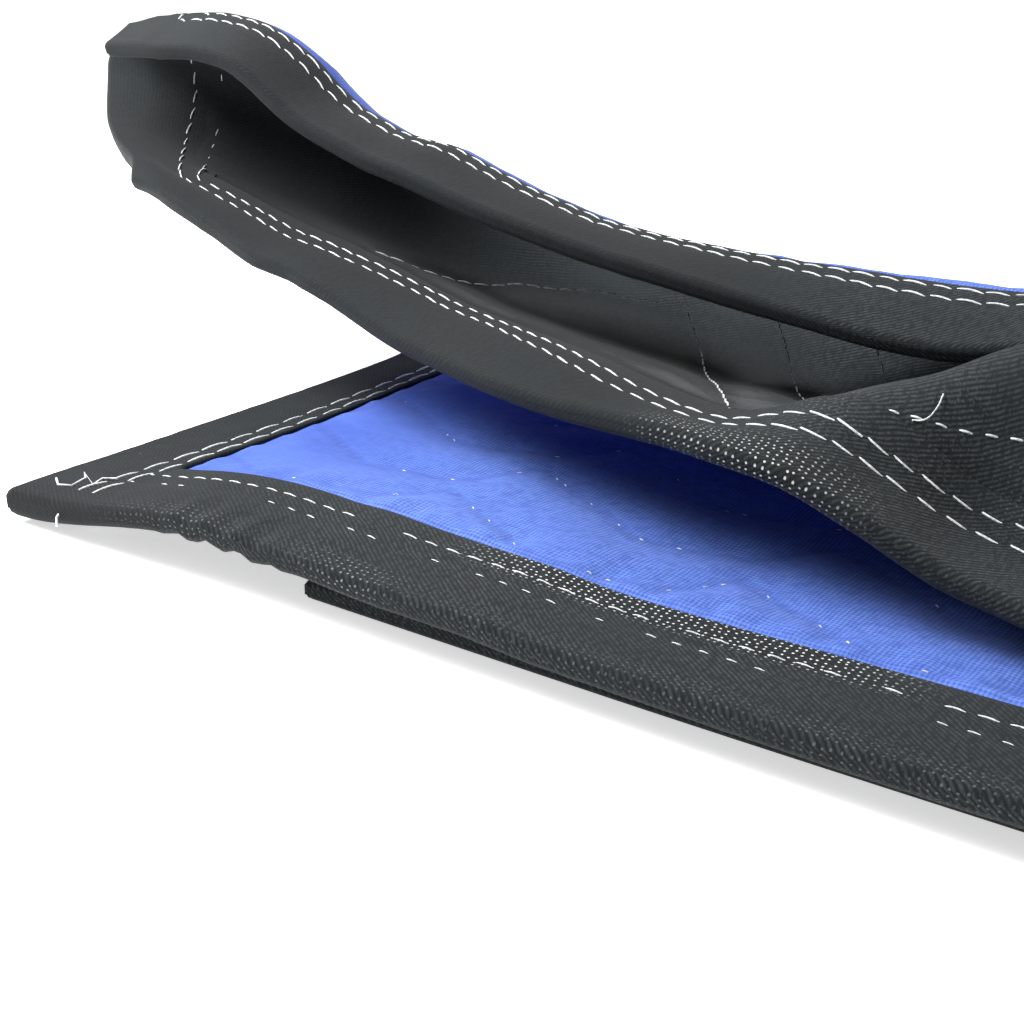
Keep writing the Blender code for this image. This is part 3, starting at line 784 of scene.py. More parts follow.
def under_uv(ring):
    """Flat place on the layer below."""
    i, j, k = (ring[..., axis] for axis in range(3))
    place_i = np.clip(i - EDGE, 0, len(under_x) - 1)
    place_j = np.clip(j - EDGE, 0, under_v.shape[1] - 1)
    past_left = np.minimum(i - EDGE, 0)
    past_front = np.maximum(j - EDGE - under_v.shape[1] + 1, 0)
    sideways = under_from_left[place_i, 0] + past_left * UNDER_RIM_STEP
    forwards = under_from_front[place_i, place_j] - past_front * UNDER_RIM_STEP
    return np.stack([UNDER_SHIFT + sideways, forwards], axis=-1)


def under_tape_uv(ring):
    """Flat place of the layer below's tape."""
    flat = under_uv(ring)
    height = under_heights[tuple(ring[..., axis] for axis in range(3))]
    sideways, forwards = flat[..., 0] - UNDER_SHIFT, flat[..., 1]
    forwards = over_the_rim(forwards, height, UNDER_RIM_STEP * EDGE)
    on_end = (sideways.mean(axis=1) < forwards.mean(axis=1))[:, None]
    return np.stack([
        UNDER_SHIFT + np.where(on_end, forwards, sideways), np.where(on_end, sideways, forwards)
    ], axis=-1)

# %% [markdown]
# ## The four sewn pieces
#
# Two covers and two tapes, each built by choosing its boxes.

# %% Covers
def cover_cells(grid, slab):
    """Boxes of a cover: its slab, without the rim."""
    cells = np.zeros([count - 1 for count in grid.shape[:3]], dtype=bool)
    cells[EDGE : -EDGE, EDGE : -EDGE, slab] = True
    return cells


def cover(name, slab):
    """One cover, through both grids."""
    return cloth_piece(name, [
        (top, cover_cells(top, slab), cover_uv, top_look),
        (under, cover_cells(under, slab), under_uv, under_look),
    ])


black_cover = cover("black_cover", BLACK_SLAB)
blue_cover = cover("blue_cover", BLUE_SLAB)

# %% Tapes
def tape_cells(grid, covered, wall):
    """Boxes of a tape: a leg on each side where covered, joined round the edge where wall."""
    cells = np.zeros([count - 1 for count in grid.shape[:3]], dtype=bool)
    cells[..., BLUE_TAPE_SLAB] = covered | wall
    cells[..., BLACK_TAPE_SLAB] = covered | wall
    cells[wall] = True
    return cells


def rim_distances(grid):
    """How many boxes each box lies from the near and the far end, along and across."""
    count_i, count_j = grid.shape[0] - 1, grid.shape[1] - 1
    i, j = np.meshgrid(np.arange(count_i), np.arange(count_j), indexing="ij")
    return i, j, count_i - 1 - i, count_j - 1 - j


lip_start = EDGE + upper_start
i, j, i_far, j_far = rim_distances(top)
reach, wall_boxes = EDGE + TAPE_CELLS, EDGE - 1
on_lip = i >= lip_start
covered = (j < reach) | (i < reach) | (i_far < reach) | ((j_far < reach) & on_lip)
wall = (j < wall_boxes) | (i < wall_boxes) | (i_far < wall_boxes) | (j_far < wall_boxes)
open_back = (j_far < EDGE) & ~on_lip
edge_binding = cloth_piece("edge_binding", [
    (top, tape_cells(top, covered & ~open_back, wall & ~open_back), tape_uv, top_look)
])

i, j, i_far, j_far = rim_distances(under)
inside_cut = (i_far >= EDGE) & (j >= EDGE + 2)
covered = inside_cut & ((i < reach) | (j_far < reach))
wall = inside_cut & ((i < wall_boxes) | (j_far < wall_boxes))
under_binding = cloth_piece("under_binding", [
    (under, tape_cells(under, covered, wall), under_tape_uv, under_look)
])

# %% [markdown]
# ## Node helpers
#
# One function adds a node to any tree with its settings, and passes its inputs on to another: a value
# sets the socket, and a node, or one of its outputs, is linked to it. Colours are written as hex, the way
# a picker shows them, and turned to the linear values that a shader works in.

# %% Helpers for nodes
MATH, RANGE, MIX, BUMP = "ShaderNodeMath", "ShaderNodeMapRange", "ShaderNodeMix", "ShaderNodeBump"
SPLIT, JOIN, UV = "ShaderNodeSeparateXYZ", "ShaderNodeCombineXYZ", "ShaderNodeUVMap"
EASED, MIXED = "SMOOTHSTEP", 2


def plug(tree, node, inputs):
    """Sets inputs: a value, another node's output, or a node, which stands for its first output."""
    for name, value in inputs.items():
        if isinstance(value, bpy.types.Node):
            value = value.outputs[0]
        if isinstance(value, bpy.types.NodeSocket):
            tree.links.new(value, node.inputs[name])
        else:
            node.inputs[name].default_value = value
    return node


def add(tree, kind, inputs=None, **settings):
    """Adds a node with its settings and inputs."""
    node = tree.nodes.new(kind)
    for name, value in settings.items():
        setattr(node, name, value)
    return plug(tree, node, inputs or {})


def linear(text):
    """A hex colour as linear red, green, blue and alpha."""
    values = [int(text[start : start + 2], 16) / 255 for start in (1, 3, 5)]
    return (*[v / 12.92 if v <= 0.04045 else ((v + 0.055) / 1.055) ** 2.4 for v in values], 1.0)


def new_material(name):
    """A material with only its output and its shader."""
    material = bpy.data.materials.new(name)
    material.use_nodes = True
    return material, material.node_tree, material.node_tree.nodes["Principled BSDF"]


def ribs(tree, place, pitch, bend):
    """A wave from 0 to 1 along a coordinate in metres, with this many mm between its tops."""
    turns = add(tree, MATH, {0: place, 1: 2 * math.pi / (pitch * MM), 2: bend}, operation="MULTIPLY_ADD")
    wave = add(tree, MATH, {0: turns}, operation="SINE")
    return add(tree, MATH, {0: wave, 1: 0.5, 2: 0.5}, operation="MULTIPLY_ADD")


def speckle(tree, uv, size, detail=2.0, roughness=0.5):
    """Noise from 0 to 1, with features of about this many mm: one number, or two for stretched ones."""
    size_u, size_v = size if isinstance(size, tuple) else (size, size)
    moved = add(tree, "ShaderNodeMapping", {"Vector": uv, "Scale": (1 / (size_u * MM), 1 / (size_v * MM), 1)})
    inputs = {"Vector": moved, "Scale": 1.0, "Detail": detail, "Roughness": roughness}
    return add(tree, "ShaderNodeTexNoise", inputs, noise_dimensions="2D")


# %% [markdown]
# ## Binding tape and black cover: ribbed polyester knit
#
# Both are a black knit with fine ribs that run slanted across the tape, about 1 mm apart. They are drawn
# 1.5 mm apart so that they show, and are broken where the threads are uneven. The ribs' tops are painted
# lighter, a painted highlight, and the same ribs drive the bump. Where the knit catches the light its loops
# glint; these glints are a painted highlight too, rows of small pale dots painted into the colour, most of
# all along the tape's two edges, on a ground painted darker. So the colour is a dark dye, a painted rib
# highlight and painted glint dots.

# %% Black knit
TAPE_RIB, COVER_RIB, RIB_SLANT, KNIT_WEFT = 1.6, 1.5, 0.75, 1.1
LOOP_ALONG, LOOP_ACROSS = 1.7, 1.35
# The lighter rib colour is a painted highlight on the ribs' tops. The darkest colour is painted darkening
# under the glint dots, and the palest is the painted glint itself.
DARK_YARN, RIB_HIGHLIGHT, FADED_YARN = "#15181a", "#3a4042", "#1f2426"
BEHIND_GLINT, GLINT = "#0b0d0e", "#dfe5e6"


def look_parts(tree):
    """The cloth's painted look: glint, crispness and mm to the nearest seam."""
    painted = add(tree, "ShaderNodeAttribute", attribute_name="look").outputs["Vector"]
    return add(tree, SPLIT, {0: painted}).outputs


def black_knit(name, rib_pitch, glint_amount):
    """Knitted polyester, dyed black: matt and ribbed, with a painted highlight on the ribs and painted glint
    dots.
    """
    material, tree, shader = new_material(name)
    uv = add(tree, UV, uv_map="cloth")
    parts = add(tree, SPLIT, {0: uv}).outputs
    painted = look_parts(tree)
    wander = speckle(tree, uv, (9.0, 5.0))
    slant_turns = 2 * math.pi / (RIB_SLANT * rib_pitch * MM)
    slant = add(tree, MATH, {0: parts[1], 1: slant_turns}, operation="MULTIPLY")
    bend = add(tree, MATH, {0: wander, 1: 5.0, 2: slant}, operation="MULTIPLY_ADD")
    rib = ribs(tree, parts[0], rib_pitch, bend)
    waver = add(tree, MATH, {0: wander, 1: 8.0}, operation="MULTIPLY")
    weft = ribs(tree, parts[1], KNIT_WEFT, waver)
    broken = speckle(tree, uv, (1.2, 2.6), 3.0, 0.7)
    whole = add(tree, RANGE, {0: broken, 1: 0.3, 2: 0.66, 3: 0.15}, interpolation_type=EASED)
    # Painted highlight: the ribs' tops get the lighter colour, and the same mask lifts the bump.
    rib_height_and_highlight = add(tree, MATH, {0: rib, 1: whole}, operation="MULTIPLY")
    rib_height_and_highlight = add(tree, MATH, {0: rib_height_and_highlight, 1: painted[1]}, operation="MULTIPLY")
    loop_scale = (1 / (LOOP_ALONG * MM), 1 / (LOOP_ACROSS * MM), 1)
    loops = add(tree, "ShaderNodeMapping", {"Vector": uv, "Scale": loop_scale})
    inputs = {"Vector": loops, "Scale": 1.0, "Randomness": 0.4}
    cells = add(tree, "ShaderNodeTexVoronoi", inputs, voronoi_dimensions="2D").outputs["Distance"]
    # Painted highlight: pale glint dots on the knit's loops, where the look attribute paints them.
    dot = add(tree, RANGE, {0: cells, 1: 0.1, 2: 0.2, 3: 1.0, 4: 0.0}, interpolation_type=EASED)
    lit = add(tree, MATH, {0: painted[0], 1: glint_amount}, operation="MULTIPLY")
    glint = add(tree, MATH, {0: dot, 1: lit}, operation="MULTIPLY")
    wide = add(tree, RANGE, {0: speckle(tree, uv, 30.0), 1: 0.35, 2: 0.7, 4: 0.35}, interpolation_type=EASED)
    # Painted darkening of the knit under the painted glint dots.
    dimmed = add(tree, MATH, {0: painted[0], 1: 0.45}, operation="MULTIPLY")
    tone = linear(DARK_YARN)
    dyes = ((rib_height_and_highlight, RIB_HIGHLIGHT), (wide, FADED_YARN), (dimmed, BEHIND_GLINT), (glint, GLINT))
    for share, colour in dyes:
        tone = add(tree, MIX, {0: share, 6: tone, 7: linear(colour)}, data_type="RGBA").outputs[MIXED]
    low = add(tree, MATH, {0: weft, 1: 0.2}, operation="MULTIPLY")
    height = add(tree, MATH, {0: rib_height_and_highlight, 1: 0.7, 2: low}, operation="MULTIPLY_ADD")
    bump = add(tree, BUMP, {"Height": height, "Distance": 0.16 * MM, "Strength": 0.7})
    plug(tree, shader, {
        "Base Color": tone, "Normal": bump, "Roughness": 0.85,
        "Sheen Weight": 0.06, "Sheen Roughness": 0.5, "Specular IOR Level": 0.16,
    })
    return material


tape_knit = black_knit("knitted polyester binding tape", TAPE_RIB, 1.0)
cover_knit = black_knit("knitted polyester cover, black", COVER_RIB, 0.8)
print("black knits:", tape_knit.name, "and", cover_knit.name)

# %% [markdown]
# ## Blue cover: plain-woven polyester
#
# The blue side is a soft plain weave. Its threads are about 0.5 mm apart, too fine to show, so the weave
# is drawn at 0.9 mm. Each thread is a little uneven, which gives the short light and dark strokes: the
# threads' tops are painted lighter, a painted highlight over the same threads' bump. The rest is soft
# creasing in two sizes, with painted shade along the quilting seams.

# %% Blue weave
WEAVE_PITCH = 0.95
WARP_SLUB, WEFT_SLUB, SHADE_SIZE, CREASE_SIZE = (0.8, 4.0), (4.0, 0.8), (3.2, 2.2), (16.0, 11.0)
# The lightest blue is a painted highlight on the threads' tops. The darker shade blue paints both random
# unevenness and painted shade along the seams.
DARK_BLUE, THREAD_HIGHLIGHT_BLUE, CREASE_BLUE, UNEVEN_AND_SEAM_SHADE_BLUE = "#3f5bb4", "#6787d8", "#5674cc", "#3a53a6"


def blue_weave(name):
    """Plain-woven polyester, dyed blue: matt and slightly fuzzy."""
    material, tree, shader = new_material(name)
    uv = add(tree, UV, uv_map="cloth")
    parts = add(tree, SPLIT, {0: uv}).outputs
    wander = add(tree, MATH, {0: speckle(tree, uv, 14.0), 1: 8.0}, operation="MULTIPLY")
    painted = look_parts(tree)
    threads = [
        add(tree, MATH, {
            0: ribs(tree, part, WEAVE_PITCH, wander), 1: speckle(tree, uv, slub, 3.0, 0.6),
        }, operation="MULTIPLY")
        for part, slub in ((parts[0], WARP_SLUB), (parts[1], WEFT_SLUB))
    ]
    weave = add(tree, MATH, dict(enumerate(threads)), operation="ADD")
    weave = add(tree, MATH, {0: weave, 1: painted[1]}, operation="MULTIPLY")
    shade = speckle(tree, uv, SHADE_SIZE, 3.0, 0.65)
    crease = speckle(tree, uv, CREASE_SIZE, 4.0, 0.55)
    # Painted highlight: the threads' tops are painted the lighter blue.
    thread_highlight = add(tree, RANGE, {0: weave, 1: 0.05, 2: 0.85}, interpolation_type=EASED)
    creased = add(tree, RANGE, {0: crease, 1: 0.35, 2: 0.7, 4: 0.3}, interpolation_type=EASED)
    shaded = add(tree, RANGE, {0: shade, 1: 0.42, 2: 0.7, 4: 0.4}, interpolation_type=EASED)
    uneven = add(tree, MATH, {0: shaded, 1: painted[1]}, operation="MULTIPLY")
    # Painted shade: within about 2 mm of a quilting seam the blue is painted darker.
    seam_shade = add(tree, RANGE, {0: painted[2], 1: 0.2, 2: 2.2, 3: 0.35, 4: 0.0}, interpolation_type=EASED)
    tone = linear(DARK_BLUE)
    dyes = ((thread_highlight, THREAD_HIGHLIGHT_BLUE), (creased, CREASE_BLUE), (uneven, UNEVEN_AND_SEAM_SHADE_BLUE), (seam_shade, UNEVEN_AND_SEAM_SHADE_BLUE))
    for share, colour in dyes:
        tone = add(tree, MIX, {0: share, 6: tone, 7: linear(colour)}, data_type="RGBA").outputs[MIXED]
    fine = add(tree, BUMP, {"Height": weave, "Distance": 0.12 * MM, "Strength": 0.6})
    seam = add(tree, RANGE, {0: painted[2], 1: 0.0, 2: 2.6}, interpolation_type=EASED)
    folds = add(tree, MATH, {0: seam, 1: 0.5, 2: crease}, operation="MULTIPLY_ADD")
    soft_bump = add(tree, BUMP, {"Height": folds, "Distance": 0.9 * MM, "Strength": 0.6, "Normal": fine})
    plug(tree, shader, {
        "Base Color": tone, "Normal": soft_bump, "Roughness": 0.8,
        "Sheen Weight": 0.1, "Sheen Roughness": 0.4, "Specular IOR Level": 0.3,
    })
    return material


blue_cloth = blue_weave("plain-woven polyester cover, blue")
print("blue weave:", len(blue_cloth.node_tree.nodes), "nodes")

# %% [markdown]
# ## Thread: white spun polyester
#
# The thread is thick and slightly glossy, with a twist that shows as a faint grey banding: the twist's
# hollows are painted grey, a painted shade, over the same noise's bump.

# %% White thread
THREAD_TWIST, TWIST_SHADE_GREY, THREAD_WHITE = 0.7, "#b9c0c2", "#f4f7f7"


def white_thread(name):
    """Spun polyester sewing thread, bleached white: smooth, with a fine twist."""
    material, tree, shader = new_material(name)
    place = add(tree, "ShaderNodeTexCoord").outputs["Object"]
    inputs = {"Vector": place, "Scale": 1 / (THREAD_TWIST * MM), "Detail": 2.0}
    twist = add(tree, "ShaderNodeTexNoise", inputs)
    # Painted shade: the thread is painted grey where the twist noise dips, where its bump is lowest.
    light = add(tree, RANGE, {0: twist, 1: 0.3, 2: 0.7}, interpolation_type=EASED)
    colours = {0: light, 6: linear(TWIST_SHADE_GREY), 7: linear(THREAD_WHITE)}
    tone = add(tree, MIX, colours, data_type="RGBA").outputs[MIXED]
    bump = add(tree, BUMP, {"Height": twist, "Distance": 0.08 * MM, "Strength": 0.6})
    plug(tree, shader, {"Base Color": tone, "Normal": bump, "Roughness": 0.5, "Sheen Weight": 0.2})
    return material


thread = white_thread("spun polyester sewing thread, white")
for piece, material in (
    (black_cover, cover_knit), (blue_cover, blue_cloth), (edge_binding, tape_knit), (under_binding, tape_knit)
):
    piece.data.materials.append(material)
    print(piece.name, "is made of", material.name)

# %% [markdown]
# ## Stitches with Geometry Nodes
#
# A lockstitch shows as a row of short bowed threads that dive into the cloth at both ends. That is a shape
# repeated along a path, which is what Geometry Nodes are for. The path is a chain of edges whose points
# carry the cloth's outward direction. The tree spaces points along it, puts one bowed tube on each,
# turned to the path and to the cloth, and makes the copies real.

# %% The stitch tree
STITCH_INPUTS = (
    ("Pitch", "NodeSocketFloat"), ("Stitch Length", "NodeSocketFloat"), ("Thread Radius", "NodeSocketFloat"),
    ("Slant", "NodeSocketFloat"), ("Rise", "NodeSocketFloat"), ("Sink", "NodeSocketFloat"),
    ("Share Shown", "NodeSocketFloat"), ("Seed", "NodeSocketInt"), ("Thread", "NodeSocketMaterial"),
)


ARC_STEPS, TUBE_SIDES = 5, 6
SMALLEST, LARGEST = 0.86, 1.06


def stitch_tree():
    """A row of bowed threads along a path."""
    tree = bpy.data.node_groups.new("lockstitch row", "GeometryNodeTree")
    tree.interface.new_socket("Geometry", in_out="INPUT", socket_type="NodeSocketGeometry")
    for name, kind in STITCH_INPUTS:
        tree.interface.new_socket(name, in_out="INPUT", socket_type=kind)
    tree.interface.new_socket("Geometry", in_out="OUTPUT", socket_type="NodeSocketGeometry")
    given = add(tree, "NodeGroupInput").outputs
    path = add(tree, "GeometryNodeMeshToCurve", {"Mesh": given["Geometry"]})
    inputs = {"Curve": path, "Length": given["Pitch"]}
    spots = add(tree, "GeometryNodeResampleCurve", inputs, mode="LENGTH")
    half, back, other, down = (
        add(tree, MATH, {0: given[name], 1: factor}, operation="MULTIPLY")
        for name, factor in (("Stitch Length", 0.5), ("Stitch Length", -0.5), ("Slant", -1.0), ("Sink", -1.0))
    )
    start = add(tree, JOIN, {0: back, 1: given["Slant"], 2: down})
    bow = add(tree, JOIN, {1: given["Slant"], 2: given["Rise"]})
    end = add(tree, JOIN, {0: half, 1: other, 2: down})
    inputs = {"Resolution": ARC_STEPS, "Start": start, "Middle": bow, "End": end}
    arc = add(tree, "GeometryNodeCurveQuadraticBezier", inputs)
    inputs = {"Resolution": TUBE_SIDES, "Radius": given["Thread Radius"]}
    ring = add(tree, "GeometryNodeCurvePrimitiveCircle", inputs)
    tube = add(tree, "GeometryNodeCurveToMesh", {"Curve": arc, "Profile Curve": ring, "Fill Caps": True})
    outward = add(tree, "GeometryNodeInputNamedAttribute", {"Name": "outward"}, data_type="FLOAT_VECTOR")
    inputs = {"Primary Axis": add(tree, "GeometryNodeInputTangent"), "Secondary Axis": outward}
    turn = add(tree, "FunctionNodeAxesToRotation", inputs, primary_axis="X", secondary_axis="Z")
    inputs = {6: given["Share Shown"], 8: given["Seed"]}
    shown = add(tree, "FunctionNodeRandomValue", inputs, data_type="BOOLEAN").outputs[3]
    inputs = {2: SMALLEST, 3: LARGEST, 8: given["Seed"]}
    size = add(tree, "FunctionNodeRandomValue", inputs, data_type="FLOAT").outputs[1]
    inputs = {"Points": spots, "Instance": tube, "Rotation": turn, "Selection": shown, "Scale": size}
    copies = add(tree, "GeometryNodeInstanceOnPoints", inputs)
    real = add(tree, "GeometryNodeRealizeInstances", {"Geometry": copies})
    coloured = add(tree, "GeometryNodeSetMaterial", {"Geometry": real, "Material": given["Thread"]})
    add(tree, "NodeGroupOutput", {0: coloured})
    return tree


lockstitch = stitch_tree()
print("stitch tree:", len(lockstitch.nodes), "nodes")

# %% Sewing along a path
def plain_mesh(holder, name):
    """The object's finished shape as a plain smooth mesh. The object itself is removed."""
    graph = bpy.context.evaluated_depsgraph_get()
    made = bpy.data.meshes.new_from_object(holder.evaluated_get(graph), depsgraph=graph)
    bpy.data.objects.remove(holder)
    made.name = name
    made.shade_smooth()
    print(name, len(made.polygons), "faces")
    return made


def sew(name, runs, values):
    """Runs the stitch tree along runs of (points in mm, outward directions) and keeps a plain mesh."""
    points, outward, edges = [], [], []
    for run_points, run_outward in runs:
        first = len(points)
        points += ((run_points - REST_POINT) * MM).tolist()
        outward += run_outward.tolist()
        edges += [(first + step, first + step + 1) for step in range(len(run_points) - 1)]
    mesh = bpy.data.meshes.new(name + "_path")
    mesh.from_pydata(points, edges, [])
    mesh.attributes.new("outward", "FLOAT_VECTOR", "POINT").data.foreach_set("vector", np.ravel(outward))
    path = new_object(name + "_path", mesh)
    modifier = path.modifiers.new("stitches", "NODES")
    modifier.node_group = lockstitch
    for item in lockstitch.interface.items_tree:
        if item.name in values:
            modifier[item.identifier] = values[item.name]
    return new_object(name, plain_mesh(path, name))


def stitch_values(pitch, length, radius, slant=0.3, rise=0.75, sink=0.25, shown=1.0, seed=1):
    """Inputs of the stitch tree, from sizes in mm."""
    return {
        "Pitch": pitch * MM, "Stitch Length": length * MM, "Thread Radius": radius * MM,
        "Slant": slant * MM, "Rise": rise * MM, "Sink": sink * MM,
        "Share Shown": shown, "Seed": seed, "Thread": thread,
    }


# %% [markdown]
# ## The tape's two rows of stitches
#
# Both rows follow grid lines, so a row is a list of grid places: down the left end, along the front and
# round the fold to the nose, and back along the lip. The same thread shows on both sides of the cloth.

# %% Rows on the tape
def grid_line(row):
    """Grid place of a stitch row, counted from the rim."""
    return EDGE + int(np.flatnonzero(TAPE_PLACES == row)[0])


def left_route(row):
    """Down the lower layer's left edge."""
    near = grid_line(row)
    return [(near, j) for j in range(top.shape[1] - 1 - EDGE, EDGE + 3, -1)]


def front_route(row):
    """Along the lower layer's front edge, up to the fold."""
    near = grid_line(row)
    return [(i, near) for i in range(near, EDGE + lower_count)]


def upper_route(row):
    """From the right fold along the upper layer's front edge, up the nose and back along the lip."""
    near = grid_line(row)
    last_i, last_j = top.shape[0] - 1 - near, top.shape[1] - 1 - near
    front = [(i, near) for i in range(EDGE + lower_count - 1, last_i)]
    nose = [(last_i, j) for j in range(near, last_j)]
    return front + nose + [(i, last_j) for i in range(last_i, lip_start, -1)]


def run_on(grid, facing, route, level, sign):
    """Points and outward directions of a route on one level."""
    i, j = np.array(route).T
    return grid[i, j, level], facing[i, j] * sign


BOTH_SIDES = ((BLUE_TAPE_FACE, -1), (BLACK_TAPE_FACE, 1))


def sewn_rows(name, route, rows, values):
    """Sews rows of stitches along a route, on both sides of the cloth."""
    runs = [run_on(top, top_normals, route(row), level, sign) for row in rows for level, sign in BOTH_SIDES]
    return sew(name, runs, values)


print("grid lines of the stitch rows:", [grid_line(row) for row in STITCH_ROWS])

# %% Sew the tapes
upper_stitches = sewn_rows(
    "upper_stitches", upper_route, STITCH_ROWS, stitch_values(6.4, 6.2, 0.25, slant=0.5, rise=0.55, seed=4)
)
left_stitches = sewn_rows(
    "left_stitches", left_route, STITCH_ROWS, stitch_values(9.4, 8.2, 0.34, slant=0.3, rise=0.6, seed=5)
)
front_inner = sewn_rows(
    "front_stitches", front_route, STITCH_ROWS[1:],
    stitch_values(5.4, 4.6, 0.2, slant=0.2, rise=0.42, sink=0.3, shown=0.85, seed=11),
)
front_outer = sewn_rows(
    "front_outer_stitches", front_route, STITCH_ROWS[:1],
    stitch_values(5.4, 3.4, 0.19, slant=0.2, rise=0.3, sink=0.35, shown=0.4, seed=12),
)


def under_route(row):
    """Down the lowest layer's left edge and along its front."""
    near = grid_line(row)
    last_j = under.shape[1] - 1 - near
    side = [(near, j) for j in range(EDGE + 4, last_j)]
    return side + [(i, last_j) for i in range(near, under.shape[0] - EDGE)]


under_facing = widen(under_normals)
under_runs = [run_on(under, under_facing, under_route(row), BLACK_TAPE_FACE, 1) for row in STITCH_ROWS]
under_stitches = sew("under_stitches", under_runs, stitch_values(6.4, 5.6, 0.26, slant=0.3, seed=9))

# %% [markdown]
# ## The quilting's stitches
#
# The seams that made the pillows get their thread too. Each seam is walked in small steps, and each step
# is looked up on the grid by its x and its distance from the front edge. On the blue side the thread is
# pulled nearly out of sight, so only short dots of it show here and there.

# %% Seams on the covers
SEAM_STEP, SEAM_END, SHORTEST_RUN, SEAM_MARGIN = 1.5, 1.6, 4, 0.5


def on_cover(first, last, x, place, level):
    """The point and normal of a cover at (x, distance from the front edge), or None off the quilting."""
    order = np.argsort(cloth_x[first:last])
    at_i = first + np.interp(x, cloth_x[first:last][order], order)
    low = min(int(at_i), last - 2)
    share = at_i - low
    places = from_front[low] * (1 - share) + from_front[low + 1] * share
    if not TAPE_WIDTH + SEAM_MARGIN < place < places[-1] - TAPE_WIDTH - SEAM_MARGIN:
        return None
    at_j = np.interp(place, places, np.arange(len(places)))
    low_j = int(at_j)
    share_j = at_j - low_j

    def mixed(values):
        near = values[EDGE + low] * (1 - share) + values[EDGE + low + 1] * share
        return near[EDGE + low_j] * (1 - share_j) + near[EDGE + low_j + 1] * share_j

    return mixed(top[:, :, level]), mixed(top_normals)


def seam_runs(seams, first, last, low_x, high_x, level, sign):
    """Runs of points along seams, cut where they leave the quilted field."""
    runs = []
    for seam in seams:
        corners = np.array(seam)
        reach = np.r_[0, np.cumsum(np.hypot(*np.diff(corners, axis=0).T))]
        run = []
        for step in np.arange(0, reach[-1], SEAM_STEP):
            x, place = (np.interp(step, reach, corners[:, axis]) for axis in range(2))
            spot = on_cover(first, last, x, place, level) if low_x < x < high_x else None
            if spot:
                run.append((spot[0], spot[1] * sign))
            if run and (not spot or step > reach[-1] - SEAM_END):
                if len(run) > SHORTEST_RUN:
                    runs.append(tuple(np.array(part) for part in zip(*run)))
                run = []
    return runs


# %% Sew the quilting
UPPER_FIELD = (upper_start, len(columns), NOSE_X + TAPE_WIDTH + 1, LENGTH - 1)
LOWER_FIELD = (0, lower_count, TAPE_WIDTH + 1, LENGTH - 1)
black_runs = seam_runs(upper_zigzags, *UPPER_FIELD, BLACK_FACE, 1)
black_runs += seam_runs(lower_seams, *LOWER_FIELD, BLACK_FACE, 1)
blue_runs = seam_runs(lower_seams, *LOWER_FIELD, BLUE_FACE, -1)
blue_runs += seam_runs(upper_seams, *UPPER_FIELD, BLUE_FACE, -1)
black_seams = sew("black_quilting", black_runs, stitch_values(5.0, 4.9, 0.25, slant=0.12, rise=0.45, seed=6))
flap_runs = seam_runs([FLAP_SEAM], *UPPER_FIELD, BLACK_FACE, 1)
flap_seam = sew("flap_seam", flap_runs, stitch_values(4.6, 2.3, 0.24, slant=0.1, rise=0.4, sink=0.2, seed=14))
blue_seams = sew(
    "blue_quilting", blue_runs,
    stitch_values(4.2, 1.2, 0.17, slant=0.1, rise=0.16, sink=0.15, shown=0.22, seed=8),
)

# %% [markdown]
# ## Loose threads at the corner
#
# Where the tape's ends meet at the free corner they are caught with a few zigzag stitches, and the
# thread's ends were left long. Each is a short curve with a round bevel, turned into a mesh.

# %% Loose threads
CORNER_TACK = (
    (3.6, 7.5), (7.6, 4.6), (11.2, 5.4), (9.3, 11.3), (5.6, 14.0), (15.4, 8.0), (13.5, 12.5), (17.0, 13.8),
)
CORNER_TRAILS = (
    ((15.0, -1.6, 5.0), (16.0, -3.4, 4.6), (17.4, -4.6, 3.4)),
    ((17.0, 2.0, 7.2), (18.8, -0.4, 6.9), (20.6, -1.8, 5.8), (20.0, -0.2, 7.0), (18.6, 2.4, 7.3)),
    ((8.2, 2.6, 6.3), (9.2, 2.2, 6.4)),
    ((18.4, 5.2, 7.3), (19.4, 5.0, 7.3)),
    ((0.0, 23.0, 6.4), (-2.0, 25.6, 5.6), (0.2, 28.0, 6.8), (-1.8, 31.0, 5.8), (0.6, 33.0, 6.9)),
    ((2.6, 24.0, 7.0), (4.4, 27.0, 7.2), (3.2, 30.0, 7.2), (4.8, 32.4, 7.4)),
)
FLAP_THREAD = ((181.0, 29.5, 0.2), (183.4, 31.0, 1.2), (184.8, 34.0, 1.4), (185.4, 38.0, 0.4))
THREAD_RADIUS, FLAP_THREAD_RADIUS, TACK_LIFT = 0.3, 0.16, 0.3
BEVEL_STEPS, CURVE_STEPS = 2, 6


def tape_height(x, y):
    """Height of the tape's blue side near the free corner, in mm."""
    return float(lower_height(x, y) + mitre_rise(x, y)) - LEVELS[BLUE_TAPE_FACE]


def thread_tube(curve_name, lines, radius, bends="VECTOR"):
    """Several open curves as one mesh of round tubes with closed ends."""
    curve = bpy.data.curves.new(curve_name, "CURVE")
    curve.dimensions = "3D"
    curve.bevel_depth = radius * MM
    curve.bevel_resolution = BEVEL_STEPS
    curve.use_fill_caps = True
    curve.resolution_u = CURVE_STEPS
    for line in lines:
        spline = curve.splines.new("BEZIER")
        spline.bezier_points.add(len(line) - 1)
        for knot, place in zip(spline.bezier_points, line):
            knot.co = Vector((np.array(place) - REST_POINT) * MM)
            knot.handle_left_type = knot.handle_right_type = bends
    made = plain_mesh(new_object(curve_name + "_curve", curve), curve_name)
    made.materials.clear()
    made.materials.append(thread)
    return new_object(curve_name, made)


